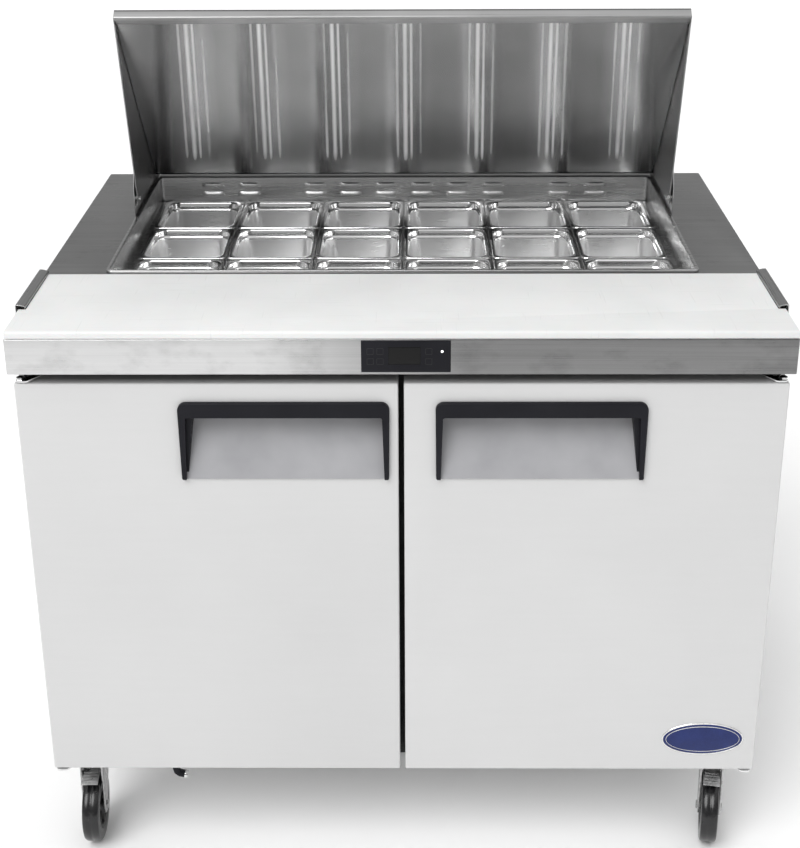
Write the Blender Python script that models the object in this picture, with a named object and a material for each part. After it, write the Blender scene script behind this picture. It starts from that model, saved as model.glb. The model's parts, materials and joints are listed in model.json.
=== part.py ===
"""Two-door refrigerated sandwich prep table with an eighteen-pan top, a tip-up lid and four casters.

Row frame: the origin is on the floor under the middle of the table, +X to the user's right, +Y towards the
back and +Z up. Metres. Heights that belong to the top are measured from the worktop plane with up(), and
depths that belong to the top from the worktop's front edge with back().
"""

import math

import bmesh
import bpy
from mathutils import Matrix, Vector

# ---- driving dimensions -------------------------------------------------------------------------------
TOP_WIDTH = 1.225
TOP_DEPTH = 0.880
TOP_HEIGHT = 1.008
SHEET = 0.0012
GAP = 0.0003
PROUD = 0.0015

CABINET_WIDTH = 1.215
CABINET_FRONT = 0.068
CABINET_BACK = 0.876
CABINET_BOTTOM = 0.180
APRON_HEIGHT = 0.060

BOARD_DEPTH = 0.258
BOARD_THICK = 0.0127
BOARD_HALF = 0.611
BOARD_TOP = 0.0066

WELL_HALF = 0.5015
WELL_FRONT = 0.284
WELL_BACK = 0.837
WELL_DEPTH = 0.1175
WELL_RIM = 0.0055
WELL_RIM_HEIGHT = 0.0042

COLUMNS = 6
ROWS = 3
COLUMN_PITCH = 0.1635
ROW_PITCH = 0.1765
PAN_GAP = 0.0015
PAN_DEPTH = 0.100
PAN_RIM_DROP = 0.0455
PAN_SHEET = 0.0008
PAN_FIRST_FRONT = 0.301
BAR_WIDTH = 0.014
BAR_HEIGHT = 0.010

LID_HALF = 0.5042
LID_THICK = 0.020
LID_PIVOT = (0.600, 0.035)
LID_LIP = (0.4857, 0.3974)
LID_TAIL = (0.790, 0.022)
LID_BOSS = 0.014
PIN_RADIUS = 0.004

HOOD_HALF = 0.5087
HOOD_TOP = 0.240
HOOD_TOP_FRONT = 0.648
HOOD_BACK = 0.872
HOOD_SIDE_FRONT = 0.580

DOOR_FACE = 0.012
DOOR_THICK = 0.048
DOOR_HALF_SPAN = 0.6065
DOOR_GAP = 0.009
DOOR_TOP = 0.922
DOOR_BOTTOM = 0.188
HINGE_INSET = 0.0095
HINGE_DEPTH = 0.020
HANDLE_WIDTH = 0.334
HANDLE_LEFT_X = -0.352
HANDLE_RIGHT_X = 0.054
HANDLE_TOP = 0.891
HANDLE_HEIGHT = 0.135
HANDLE_DEPTH = 0.043
HANDLE_PROUD = 0.008
HANDLE_BAR = 0.025
HANDLE_CHEEK = 0.009
HANDLE_WALL = 0.0025
HANDLE_BAR_DEPTH = 0.010
HANDLE_FOOT_PROUD = 0.004
HANDLE_BACK_RISE = 0.005
HANDLE_CUT_PAST = 0.70

CAVITY_HALF = 0.5625
CAVITY_BOTTOM = 0.225
CAVITY_TOP = 0.890
CAVITY_STEP_Z = 0.563
CAVITY_STEP_Y = 0.190
MULLION_HALF = 0.036
MULLION_DEPTH = 0.032
NICHE_HALF = 0.500
NICHE_FRONT_Y = 0.235
NICHE_TOP = 0.518

WHEEL_RADIUS = 0.0625
WHEEL_WIDTH = 0.030
CASTER_TRAIL = -0.042
CASTER_X = 0.557
CASTER_FRONT = 0.112
CASTER_BACK = 0.790
FRONT_LEFT_TURN = 2.0
FRONT_RIGHT_TURN = -10.0


def back(distance):
    """Row Y of a point this far behind the worktop's front edge."""
    return distance - TOP_DEPTH / 2


def up(height):
    """Row Z of a point this far above the worktop plane."""
    return TOP_HEIGHT + height


# ---- making objects -----------------------------------------------------------------------------------
def clear_scene():
    for item in list(bpy.data.objects):
        bpy.data.objects.remove(item, do_unlink=True)


def material(name, colour, roughness, metallic):
    made = bpy.data.materials.new(name)
    made.use_nodes = True
    shader = made.node_tree.nodes["Principled BSDF"]
    shader.inputs["Base Color"].default_value = (*colour, 1.0)
    shader.inputs["Roughness"].default_value = roughness
    shader.inputs["Metallic"].default_value = metallic
    made.diffuse_color = (*colour, 1.0)
    return made


FINISH = {
    "stainless": ((0.62, 0.62, 0.61), 0.32, 1.0),
    "dark_stainless": ((0.36, 0.36, 0.36), 0.34, 1.0),
    "coated": ((0.70, 0.70, 0.70), 0.42, 0.0),
    "board": ((0.93, 0.93, 0.93), 0.55, 0.0),
    "black": ((0.025, 0.027, 0.035), 0.45, 0.0),
    "gasket": ((0.05, 0.05, 0.05), 0.80, 0.0),
    "foam": ((0.85, 0.80, 0.62), 0.90, 0.0),
    "liner": ((0.75, 0.76, 0.77), 0.38, 0.8),
    "pan": ((0.80, 0.80, 0.79), 0.12, 1.0),
    "tyre": ((0.03, 0.03, 0.03), 0.70, 0.0),
    "zinc": ((0.55, 0.55, 0.56), 0.35, 1.0),
    "copper": ((0.55, 0.57, 0.60), 0.50, 0.7),
}


def finish(obj, kind):
    obj.data.materials.clear()
    obj.data.materials.append(material(obj.name + "_paint", *FINISH[kind]))
    return obj


def object_from(bm, name, kind=None):
    bmesh.ops.recalc_face_normals(bm, faces=bm.faces)
    mesh = bpy.data.meshes.new(name)
    bm.to_mesh(mesh)
    bm.free()
    obj = bpy.data.objects.new(name, mesh)
    bpy.context.collection.objects.link(obj)
    if kind:
        finish(obj, kind)
    return obj


def box(name, low, high, kind=None):
    bm = bmesh.new()
    bmesh.ops.create_cube(bm, size=1.0)
    size = Vector(high) - Vector(low)
    middle = (Vector(high) + Vector(low)) / 2
    bmesh.ops.scale(bm, vec=size, verts=bm.verts)
    bmesh.ops.translate(bm, vec=middle, verts=bm.verts)
    return object_from(bm, name, kind)


def prism_x(name, outline, low_x, high_x, kind=None):
    """A (Y, Z) outline extruded along X."""
    bm = bmesh.new()
    near = [bm.verts.new((low_x, y, z)) for y, z in outline]
    face = bm.faces.new(near)
    made = bmesh.ops.extrude_face_region(bm, geom=[face])
    moved = [v for v in made["geom"] if isinstance(v, bmesh.types.BMVert)]
    bmesh.ops.translate(bm, vec=(high_x - low_x, 0, 0), verts=moved)
    return object_from(bm, name, kind)


def cylinder(name, centre, axis, radius, length, segments=16, kind=None):
    bm = bmesh.new()
    bmesh.ops.create_cone(
        bm, cap_ends=True, segments=segments, radius1=radius, radius2=radius, depth=length
    )
    turn = Vector((0, 0, 1)).rotation_difference(Vector(axis)).to_matrix().to_4x4()
    bmesh.ops.transform(bm, matrix=Matrix.Translation(centre) @ turn, verts=bm.verts)
    return object_from(bm, name, kind)


def apply_boolean(obj, other, operation):
    """Joins or cuts with the exact solver, keeps the result and removes the tool."""
    change = obj.modifiers.new("cut", "BOOLEAN")
    change.operation = operation
    change.solver = "EXACT"
    change.object = other
    bpy.context.view_layer.update()
    graph = bpy.context.evaluated_depsgraph_get()
    shaped = bpy.data.meshes.new_from_object(obj.evaluated_get(graph))
    obj.modifiers.clear()
    old = obj.data
    obj.data = shaped
    shaped.name = obj.name
    bpy.data.meshes.remove(old)
    bpy.data.objects.remove(other, do_unlink=True)


def cut(obj, *tools):
    for tool in tools:
        apply_boolean(obj, tool, "DIFFERENCE")
    return obj


def join(obj, *others):
    for other in others:
        apply_boolean(obj, other, "UNION")
    return obj


def smooth(obj, angle=35.0):
    obj.data.shade_smooth()
    obj.data.set_sharp_from_angle(angle=math.radians(angle))
    return obj


def pivot(name, place, *objects):
    """An empty on a joint's axis, with the moving pieces under it."""
    empty = bpy.data.objects.new(name, None)
    empty.empty_display_size = 0.03
    empty.location = place
    bpy.context.collection.objects.link(empty)
    bpy.context.view_layer.update()
    for obj in objects:
        obj.parent = empty
        obj.matrix_parent_inverse = empty.matrix_world.inverted()
    return empty


def rounded_ring(half_x, half_y, radius, z, steps):
    """Corner points, anticlockwise from above, of a rectangle with round corners."""
    points = []
    corners = ((1, 1, 0), (-1, 1, 90), (-1, -1, 180), (1, -1, 270))
    for side_x, side_y, start in corners:
        for step in range(steps + 1):
            angle = math.radians(start + 90 * step / steps)
            x = side_x * (half_x - radius) + radius * math.cos(angle)
            y = side_y * (half_y - radius) + radius * math.sin(angle)
            points.append((x, y, z))
    return points


def loft(name, rings, place=(0, 0, 0), kind=None):
    """Skins a list of closed rings with equal counts and caps both ends."""
    bm = bmesh.new()
    rows = []
    for ring in rings:
        rows.append([bm.verts.new(Vector(p) + Vector(place)) for p in ring])
    count = len(rows[0])
    for low, high in zip(rows, rows[1:]):
        for i in range(count):
            j = (i + 1) % count
            bm.faces.new((low[i], low[j], high[j], high[i]))
    bm.faces.new(rows[0][::-1])
    bm.faces.new(rows[-1])
    return object_from(bm, name, kind)


def lathe(name, profile, segments, centre, axis, kind=None):
    """Turns a closed (radius, height) profile that stays off the axis into a ring about the axis."""
    bm = bmesh.new()
    turn = Vector((0, 0, 1)).rotation_difference(Vector(axis)).to_matrix().to_4x4()
    place = Matrix.Translation(centre) @ turn
    rows = []
    for s in range(segments):
        angle = 2 * math.pi * s / segments
        row = []
        for radius, height in profile:
            point = Vector((radius * math.cos(angle), radius * math.sin(angle), height))
            row.append(bm.verts.new(place @ point))
        rows.append(row)
    count = len(profile)
    for s in range(segments):
        here, there = rows[s], rows[(s + 1) % segments]
        for i in range(count):
            j = (i + 1) % count
            bm.faces.new((here[i], here[j], there[j], there[i]))
    return object_from(bm, name, kind)


# ---- cabinet ------------------------------------------------------------------------------------------
CABINET_HALF = CABINET_WIDTH / 2
CABINET_TOP = up(BOARD_TOP - BOARD_THICK) - 2 * GAP - SHEET


def cavity_outline(inset):
    """(Y, Z) outline of the cold space, stepped over the machine niche, shrunk by inset."""
    front = back(CABINET_FRONT) - 0.02
    rear = back(WELL_BACK) - inset
    step_y = CAVITY_STEP_Y - inset
    low = CAVITY_BOTTOM + inset
    step_z = CAVITY_STEP_Z + inset
    top = CAVITY_TOP - inset
    return [(front, low), (step_y, low), (step_y, step_z), (rear, step_z), (rear, top), (front, top)]


def well_cutter(grow, low, high):
    return box(
        "well_cutter",
        (-WELL_HALF - grow, back(WELL_FRONT) - grow, low),
        (WELL_HALF + grow, back(WELL_BACK) + grow, high),
    )


def caster_places():
    places = {}
    for side, x in (("left", -CASTER_X), ("right", CASTER_X)):
        for end, y in (("front", back(CASTER_FRONT)), ("rear", back(CASTER_BACK))):
            places[end + "_" + side] = (x, y)
    return places


PLATE_THICK = 0.004
PLATE_HALF_X = 0.045
PLATE_HALF_Y = 0.038
DRAIN_X = -0.410
DRAIN_FRONT = 0.095
DRAIN_RADIUS = 0.008
DRAIN_LOW = 0.112
DRAIN_REACH = 0.026
DRAIN_AXIS = (0.97, 0.0, -0.24)


def make_cabinet_shell():
    low = (-CABINET_HALF, back(CABINET_FRONT), CABINET_BOTTOM)
    high = (CABINET_HALF, back(CABINET_BACK), CABINET_TOP)
    shell = box("cabinet_shell", low, high)
    hollow_low = (-CABINET_HALF + SHEET, back(CABINET_FRONT) - 0.01, CABINET_BOTTOM + SHEET)
    hollow_high = (CABINET_HALF - SHEET, back(CABINET_BACK) - SHEET, CABINET_TOP + 0.01)
    cut(shell, box("hollow", hollow_low, hollow_high))
    vent_low = (-NICHE_HALF + 0.02, back(CABINET_BACK) - 0.01, CABINET_BOTTOM + 0.02)
    vent_high = (NICHE_HALF - 0.02, back(CABINET_BACK) + 0.01, NICHE_TOP - 0.02)
    cut(shell, box("vent", vent_low, vent_high))
    for x, y in caster_places().values():
        plate_low = (x - PLATE_HALF_X, y - PLATE_HALF_Y, CABINET_BOTTOM - PLATE_THICK)
        plate_high = (x + PLATE_HALF_X, y + PLATE_HALF_Y, CABINET_BOTTOM + SHEET / 2)
        join(shell, box("plate", plate_low, plate_high))
    drain_high = CABINET_BOTTOM + SHEET / 2
    drain_place = (DRAIN_X, back(DRAIN_FRONT), (DRAIN_LOW + drain_high) / 2)
    join(shell, cylinder("drain", drain_place, (0, 0, 1), DRAIN_RADIUS, drain_high - DRAIN_LOW, 12))
    elbow_place = (DRAIN_X + DRAIN_REACH / 2 - 0.004, back(DRAIN_FRONT), DRAIN_LOW)
    join(shell, cylinder("drain_elbow", elbow_place, DRAIN_AXIS, DRAIN_RADIUS * 1.08, DRAIN_REACH, 12))
    return finish(shell, "coated")


def make_cabinet_foam():
    inset = SHEET + GAP
    low = (-CABINET_HALF + inset, back(CABINET_FRONT), CABINET_BOTTOM + inset)
    high = (CABINET_HALF - inset, back(CABINET_BACK) - inset, CABINET_TOP - GAP)
    foam = box("cabinet_foam", low, high)
    space = prism_x("space", cavity_outline(-GAP), -CAVITY_HALF - GAP, CAVITY_HALF + GAP)
    niche_low = (-NICHE_HALF, NICHE_FRONT_Y, CABINET_BOTTOM - 0.01)
    niche_high = (NICHE_HALF, back(CABINET_BACK) + 0.01, NICHE_TOP)
    cut(foam, space, box("niche", niche_low, niche_high))
    cut(foam, well_cutter(2 * GAP, CAVITY_TOP - 0.02, CABINET_TOP + 0.01))
    return finish(foam, "foam")


def make_cabinet_liner():
    liner = prism_x("cabinet_liner", cavity_outline(0.0), -CAVITY_HALF, CAVITY_HALF)
    front = back(CABINET_FRONT)
    flange_low = (-CABINET_HALF, front - SHEET - GAP, CABINET_BOTTOM)
    flange_high = (CABINET_HALF, front - GAP, CABINET_TOP)
    trim = box("trim", (-1, front - 0.05, 0), (1, front - SHEET / 2 - GAP, 2))
    cut(liner, trim)
    join(liner, box("flange", flange_low, flange_high))
    inner = prism_x("inner", cavity_outline(SHEET), -CAVITY_HALF + SHEET, CAVITY_HALF - SHEET)
    cut(liner, inner)
    cut(liner, well_cutter(2 * GAP, CAVITY_TOP - 0.02, CAVITY_TOP + 0.01))
    post_low = (-MULLION_HALF, front - SHEET - GAP, CAVITY_BOTTOM)
    post_high = (MULLION_HALF, front + MULLION_DEPTH, CAVITY_TOP)
    join(liner, box("mullion", post_low, post_high))
    return finish(liner, "liner")


# ---- worktop ------------------------------------------------------------------------------------------
MODULE_LEFT = -0.061
MODULE_RIGHT = 0.077
MODULE_LOW = -0.0615
MODULE_HIGH = -0.0085
LEDGE = BOARD_TOP - BOARD_THICK - GAP
TOP_HALF = TOP_WIDTH / 2


def make_countertop():
    low = up(LEDGE) - APRON_HEIGHT
    step = back(BOARD_DEPTH) + 0.001
    outline = [
        (back(PROUD), low),
        (back(TOP_DEPTH), low),
        (back(TOP_DEPTH), up(0)),
        (step, up(0)),
        (step, up(LEDGE)),
        (back(PROUD), up(LEDGE)),
    ]
    top = prism_x("countertop", outline, -TOP_HALF, TOP_HALF)
    inside = [
        (back(PROUD) + SHEET, low - 0.01),
        (back(TOP_DEPTH) - SHEET, low - 0.01),
        (back(TOP_DEPTH) - SHEET, up(-SHEET)),
        (step + SHEET, up(-SHEET)),
        (step + SHEET, up(LEDGE) - SHEET),
        (back(PROUD) + SHEET, up(LEDGE) - SHEET),
    ]
    cut(top, prism_x("inside", inside, -TOP_HALF + SHEET, TOP_HALF - SHEET))
    cut(top, well_cutter(GAP, up(-0.05), up(0.05)))
    slot_low = (MODULE_LEFT - GAP, back(0) - 0.01, up(MODULE_LOW) - GAP)
    slot_high = (MODULE_RIGHT + GAP, back(0) + 0.01, up(MODULE_HIGH) + GAP)
    cut(top, box("module_slot", slot_low, slot_high))
    return finish(top, "stainless")


GUARD_FRONT = 0.096
GUARD_BACK = 0.262
GUARD_TOP = 0.0136
GUARD_THICK = 0.0022
GUARD_OUTER = 0.6158
NOTCH_HALF = 0.5985


def make_cutting_board():
    """The board fills the worktop's width in front and is notched at both ends behind, beside the guards."""
    low = (-BOARD_HALF, back(0), up(BOARD_TOP - BOARD_THICK))
    high = (BOARD_HALF, back(BOARD_DEPTH), up(BOARD_TOP))
    board = box("cutting_board", low, high, "board")
    for side in (-1, 1):
        ends = sorted((side * NOTCH_HALF, side * (BOARD_HALF + 0.01)))
        notch_low = (ends[0], back(GUARD_FRONT) - 0.0015, up(-0.05))
        notch_high = (ends[1], back(BOARD_DEPTH) + 0.01, up(0.05))
        cut(board, box("notch", notch_low, notch_high))
    bevel = board.modifiers.new("round", "BEVEL")
    bevel.width = 0.003
    bevel.segments = 2
    bevel.limit_method = "ANGLE"
    return smooth(board)


def make_board_guard(name, side):
    """An inverted angle screwed to the worktop's side, whose top leg covers the board's notch."""
    outer = side * GUARD_OUTER
    inner = side * (TOP_HALF + GAP)
    reach = side * (NOTCH_HALF + 0.0008)
    leg_low = (min(inner, outer), back(GUARD_FRONT), up(-0.020))
    leg_high = (max(inner, outer), back(GUARD_BACK), up(GUARD_TOP))
    guard = box(name, leg_low, leg_high)
    cap_low = (min(reach, outer), back(GUARD_FRONT), up(GUARD_TOP - GUARD_THICK))
    cap_high = (max(reach, outer), back(GUARD_BACK), up(GUARD_TOP))
    join(guard, box("cap", cap_low, cap_high))
    return finish(guard, "dark_stainless")


def make_well_liner():
    low = up(-WELL_DEPTH)
    rim_low = up(GAP)
    rim_high = up(WELL_RIM_HEIGHT)
    body_low = (-WELL_HALF, back(WELL_FRONT), low)
    body_high = (WELL_HALF, back(WELL_BACK), rim_high)
    liner = box("well_liner", body_low, body_high)
    reach_low = (-WELL_HALF - WELL_RIM, back(WELL_FRONT) - WELL_RIM, rim_low)
    reach_high = (WELL_HALF + WELL_RIM, back(WELL_BACK) + WELL_RIM, rim_high)
    join(liner, box("rim", reach_low, reach_high))
    side_ledge = up(-PAN_RIM_DROP) - GAP
    end_ledge = side_ledge - BAR_HEIGHT - GAP
    ledge_x = WELL_HALF - 0.017
    ledge_front = back(PAN_FIRST_FRONT) + 0.006
    ledge_back = back(PAN_FIRST_FRONT + ROWS * ROW_PITCH) - 0.006
    wall = 0.001
    inner_half = WELL_HALF - wall
    inner_front = back(WELL_FRONT) + wall
    inner_back = back(WELL_BACK) - wall
    upper = box("upper", (-inner_half, inner_front, side_ledge), (inner_half, inner_back, up(0.1)))
    mid_low = (-ledge_x, inner_front, end_ledge)
    mid_high = (ledge_x, inner_back, side_ledge + 0.001)
    middle = box("middle", mid_low, mid_high)
    throat_low = (-ledge_x, ledge_front, up(-0.5))
    throat_high = (ledge_x, ledge_back, end_ledge + 0.001)
    throat = box("throat", throat_low, throat_high)
    below_low = (-inner_half, inner_front, up(-0.5))
    below_high = (inner_half, inner_back, end_ledge - wall)
    cut(liner, upper, middle, throat, box("below", below_low, below_high))
    return finish(liner, "stainless")


def make_adapter_bar(index):
    x = (index - COLUMNS / 2) * COLUMN_PITCH
    top = up(-PAN_RIM_DROP) - GAP
    low = (x - BAR_WIDTH / 2, back(WELL_FRONT) + 0.002, top - BAR_HEIGHT)
    high = (x + BAR_WIDTH / 2, back(WELL_BACK) - 0.002, top)
    bar = box("adapter_bar_%d" % index, low, high)
    groove_low = (x - BAR_WIDTH / 2 + SHEET, low[1] - 0.01, low[2] - 0.01)
    groove_high = (x + BAR_WIDTH / 2 - SHEET, high[1] + 0.01, top - SHEET)
    cut(bar, box("groove", groove_low, groove_high))
    return finish(bar, "stainless")


PAN_BODY_MARGIN = 0.0078
PAN_DRAFT = 0.007
PAN_SHOULDER = 0.014
PAN_STEP = 0.002
CORNER_STEPS = 2


def make_pan(row, column):
    """A sixth-size pan: rim flange, shoulder step, tapered wall and round corners."""
    rim_x = (COLUMN_PITCH - PAN_GAP) / 2
    rim_y = (ROW_PITCH - PAN_GAP) / 2
    x = (column - (COLUMNS - 1) / 2) * COLUMN_PITCH
    y = back(PAN_FIRST_FRONT + (row + 0.5) * ROW_PITCH)
    top = up(-PAN_RIM_DROP) + PAN_SHEET
    body_x = rim_x - PAN_BODY_MARGIN
    body_y = rim_y - PAN_BODY_MARGIN
    t = PAN_SHEET

    def ring(inset, z, radius):
        return rounded_ring(body_x - inset, body_y - inset, radius, z, CORNER_STEPS)

    floor = -PAN_DEPTH
    rings = [
        ring(PAN_DRAFT + PAN_STEP + t + 0.008, floor + t, 0.014),
        ring(PAN_DRAFT + PAN_STEP + t, floor + 0.010, 0.020),
        ring(PAN_STEP + t, -PAN_SHOULDER, 0.024),
        ring(t, -PAN_SHOULDER + 0.003, 0.026),
        ring(t, 0.0, 0.026),
        rounded_ring(rim_x, rim_y, 0.012, 0.0, CORNER_STEPS),
        rounded_ring(rim_x, rim_y, 0.012, -t, CORNER_STEPS),
        ring(0.0, -t, 0.026),
        ring(0.0, -PAN_SHOULDER + 0.003 - t, 0.026),
        ring(PAN_STEP, -PAN_SHOULDER - t, 0.024),
        ring(PAN_DRAFT + PAN_STEP, floor + 0.010 - t, 0.020),
        ring(PAN_DRAFT + PAN_STEP + 0.008, floor, 0.014),
    ]
    name = "pan_row%d_%d" % (row + 1, column + 1)
    return smooth(loft(name, rings, (x, y, top), "pan"))


# ---- lid and rear hood --------------------------------------------------------------------------------
def lid_axes():
    """Unit vectors along the lid panel, lip to tail, and out of its outer face, in (depth, height)."""
    along = Vector(LID_TAIL) - Vector(LID_LIP)
    length = along.length
    along.normalize()
    outward = Vector((-along.y, along.x))
    return along, outward, length


def lid_point(s, n):
    """Row (Y, Z) of a point s along the panel from its lip and n out of the inner face."""
    along, outward, _ = lid_axes()
    depth, height = Vector(LID_LIP) + along * s + outward * n
    return back(depth), up(height)


def boss_arc(steps):
    """Points round the lower side of the pivot, from the tail's side to the lip's side."""
    centre = Vector((back(LID_PIVOT[0]), up(LID_PIVOT[1])))
    start, end = -75.0, -195.0
    points = []
    for step in range(steps + 1):
        angle = math.radians(start + (end - start) * step / steps)
        points.append((centre.x + LID_BOSS * math.cos(angle), centre.y + LID_BOSS * math.sin(angle)))
    return points


def make_lid_shell():
    length = lid_axes()[2]
    outline = [
        lid_point(0, 0),
        lid_point(0, LID_THICK),
        lid_point(length, LID_THICK),
        lid_point(length, 0),
    ] + boss_arc(6)
    shell = prism_x("lid_shell", outline, -LID_HALF, LID_HALF)
    inside = [
        lid_point(SHEET, -0.5),
        lid_point(SHEET, LID_THICK - SHEET),
        lid_point(length - SHEET, LID_THICK - SHEET),
        lid_point(length - SHEET, -0.5),
    ]
    cut(shell, prism_x("inside", inside, -LID_HALF + SHEET, LID_HALF - SHEET))
    centre = (0, back(LID_PIVOT[0]), up(LID_PIVOT[1]))
    cut(shell, cylinder("hole", centre, (1, 0, 0), PIN_RADIUS + GAP, 1.2, 12))
    return finish(shell, "stainless")


def make_lid_liner():
    length = lid_axes()[2]
    edge = SHEET + GAP
    outline = [
        lid_point(edge, 0.0),
        lid_point(edge, SHEET),
        lid_point(length - edge, SHEET),
        lid_point(length - edge, 0.0),
    ]
    return prism_x("lid_liner", outline, -LID_HALF + edge, LID_HALF - edge, "stainless")


def make_rear_hood():
    """Fixed cover behind the pans: two side plates, a top and a back, with the lid's pins on the sides."""
    base = up(GAP)
    top = up(HOOD_TOP)
    outline = [
        (back(HOOD_SIDE_FRONT), base),
        (back(HOOD_BACK), base),
        (back(HOOD_BACK), top),
        (back(HOOD_TOP_FRONT), top),
        (back(HOOD_SIDE_FRONT), up(LID_PIVOT[1] + 0.022)),
    ]
    hood = prism_x("rear_hood", outline, -HOOD_HALF, HOOD_HALF)
    inside = [
        (back(HOOD_SIDE_FRONT) - 0.05, base - 0.01),
        (back(HOOD_BACK) - SHEET, base - 0.01),
        (back(HOOD_BACK) - SHEET, top - SHEET),
        (back(HOOD_SIDE_FRONT) - 0.05, top - SHEET),
    ]
    inner_half = HOOD_HALF - SHEET
    cut(hood, prism_x("inside", inside, -inner_half, inner_half))
    for side in (-1, 1):
        middle = side * (inner_half - 0.0035)
        centre = (middle, back(LID_PIVOT[0]), up(LID_PIVOT[1]))
        join(hood, cylinder("pin", centre, (1, 0, 0), PIN_RADIUS, 0.008, 12))
    return finish(hood, "stainless")


# ---- doors --------------------------------------------------------------------------------------------
def door_span(side):
    outer = side * DOOR_HALF_SPAN
    inner = side * DOOR_GAP / 2
    return min(outer, inner), max(outer, inner)


def handle_span(side):
    left = HANDLE_LEFT_X if side < 0 else HANDLE_RIGHT_X
    return left, left + HANDLE_WIDTH


FACE_Y = DOOR_FACE - TOP_DEPTH / 2
HANDLE_BOTTOM = HANDLE_TOP - HANDLE_HEIGHT


def make_door_skin(name, side):
    left, right = door_span(side)
    skin = box(name, (left, FACE_Y, DOOR_BOTTOM), (right, FACE_Y + DOOR_THICK - 0.003, DOOR_TOP))
    inner_low = (left + SHEET, FACE_Y + SHEET, DOOR_BOTTOM + SHEET)
    inner_high = (right - SHEET, FACE_Y + DOOR_THICK, DOOR_TOP - SHEET)
    cut(skin, box("inner", inner_low, inner_high))
    grip_left, grip_right = handle_span(side)
    slot_low = (grip_left - GAP, FACE_Y - 0.01, HANDLE_BOTTOM - GAP)
    slot_high = (grip_right + GAP, FACE_Y + 0.01, HANDLE_TOP + GAP)
    cut(skin, box("slot", slot_low, slot_high))
    return finish(skin, "coated")


def make_door_core(name, side):
    left, right = door_span(side)
    inset = SHEET + GAP
    low = (left + inset, FACE_Y + inset, DOOR_BOTTOM + inset)
    high = (right - inset, FACE_Y + DOOR_THICK, DOOR_TOP - inset)
    core = box(name, low, high)
    grip_left, grip_right = handle_span(side)
    pocket = [
        (FACE_Y - 0.01, HANDLE_BOTTOM - 3 * GAP),
        (FACE_Y + 0.0005, HANDLE_BOTTOM - 3 * GAP),
        (FACE_Y + HANDLE_DEPTH + 2 * GAP, HANDLE_TOP - 0.0065),
        (FACE_Y + HANDLE_DEPTH + 2 * GAP, HANDLE_TOP + 2 * GAP),
        (FACE_Y - 0.01, HANDLE_TOP + 2 * GAP),
    ]
    cut(core, prism_x("pocket", pocket, grip_left - 2 * GAP, grip_right + 2 * GAP))
    return finish(core, "foam")


def make_door_gasket(name, side):
    left, right = door_span(side)
    edge = 0.012
    width = 0.018
    near = FACE_Y + DOOR_THICK + GAP
    far = back(CABINET_FRONT) - SHEET - 2 * GAP
    ring = box(name, (left + edge, near, DOOR_BOTTOM + edge), (right - edge, far, DOOR_TOP - edge))
    hole_low = (left + edge + width, near - 0.01, DOOR_BOTTOM + edge + width)
    hole_high = (right - edge - width, far + 0.01, DOOR_TOP - edge - width)
    cut(ring, box("hole", hole_low, hole_high))
    return finish(ring, "gasket")


def make_handle(name, side):
    """Scoop pull: a bar across the top, cheeks at both ends and a plate that slopes in behind the bar."""
    left, right = handle_span(side)
    proud = FACE_Y - HANDLE_PROUD
    deep = FACE_Y + HANDLE_DEPTH
    outline = [
        (FACE_Y - HANDLE_FOOT_PROUD, HANDLE_BOTTOM),
        (deep, HANDLE_TOP - HANDLE_BACK_RISE),
        (deep, HANDLE_TOP),
        (proud, HANDLE_TOP),
        (proud, HANDLE_TOP - HANDLE_BAR),
    ]
    handle = prism_x(name, outline, left, right)
    bar_back = FACE_Y + HANDLE_BAR_DEPTH
    plate_end = Vector((deep - HANDLE_WALL, HANDLE_TOP - HANDLE_BACK_RISE - HANDLE_WALL / 2))
    plate_foot = Vector((FACE_Y, HANDLE_BOTTOM + HANDLE_WALL))
    before_face = plate_foot + (plate_foot - plate_end) * HANDLE_CUT_PAST
    hollow = [
        tuple(before_face),
        tuple(plate_end),
        (deep - HANDLE_WALL, HANDLE_TOP - HANDLE_WALL),
        (bar_back, HANDLE_TOP - HANDLE_WALL),
        (bar_back, HANDLE_TOP - HANDLE_BAR),
        (before_face.x, HANDLE_TOP - HANDLE_BAR),
    ]
    cut(handle, prism_x("hollow", hollow, left + HANDLE_CHEEK, right - HANDLE_CHEEK))
    return finish(handle, "black")


def make_door(side):
    word = "left" if side < 0 else "right"
    pieces = [
        make_door_skin("door_skin_" + word, side),
        make_door_core("door_core_" + word, side),
        make_door_gasket("door_gasket_" + word, side),
        make_handle("door_handle_" + word, side),
    ]
    hinge = (side * (DOOR_HALF_SPAN - HINGE_INSET), back(HINGE_DEPTH), DOOR_BOTTOM)
    pivot("door_hinge_" + word, hinge, *pieces)


# ---- casters ------------------------------------------------------------------------------------------
HEAD_TOP = CABINET_BOTTOM - PLATE_THICK - GAP
HEAD_RADIUS = 0.026
HEAD_HEIGHT = 0.012
BRIDGE_FRONT = -0.055
BRIDGE_BACK = 0.025
BRIDGE_LOW = HEAD_TOP - 0.020
BRIDGE_HIGH = HEAD_TOP - 0.011
BRIDGE_MARGIN = 0.0008
LEG_THICK = 0.003
LEG_X = WHEEL_WIDTH / 2 + 0.002
LEG_TIP_HALF = 0.014
LEG_INSET = 0.002
AXLE_RADIUS = 0.005
AXLE_OVERHANG = 0.006


def turned(obj, place, degrees):
    """Turns a piece about the upright line through place."""
    move = Matrix.Translation((*place, 0)) @ Matrix.Rotation(math.radians(degrees), 4, "Z")
    obj.data.transform(move)
    return obj


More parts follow.
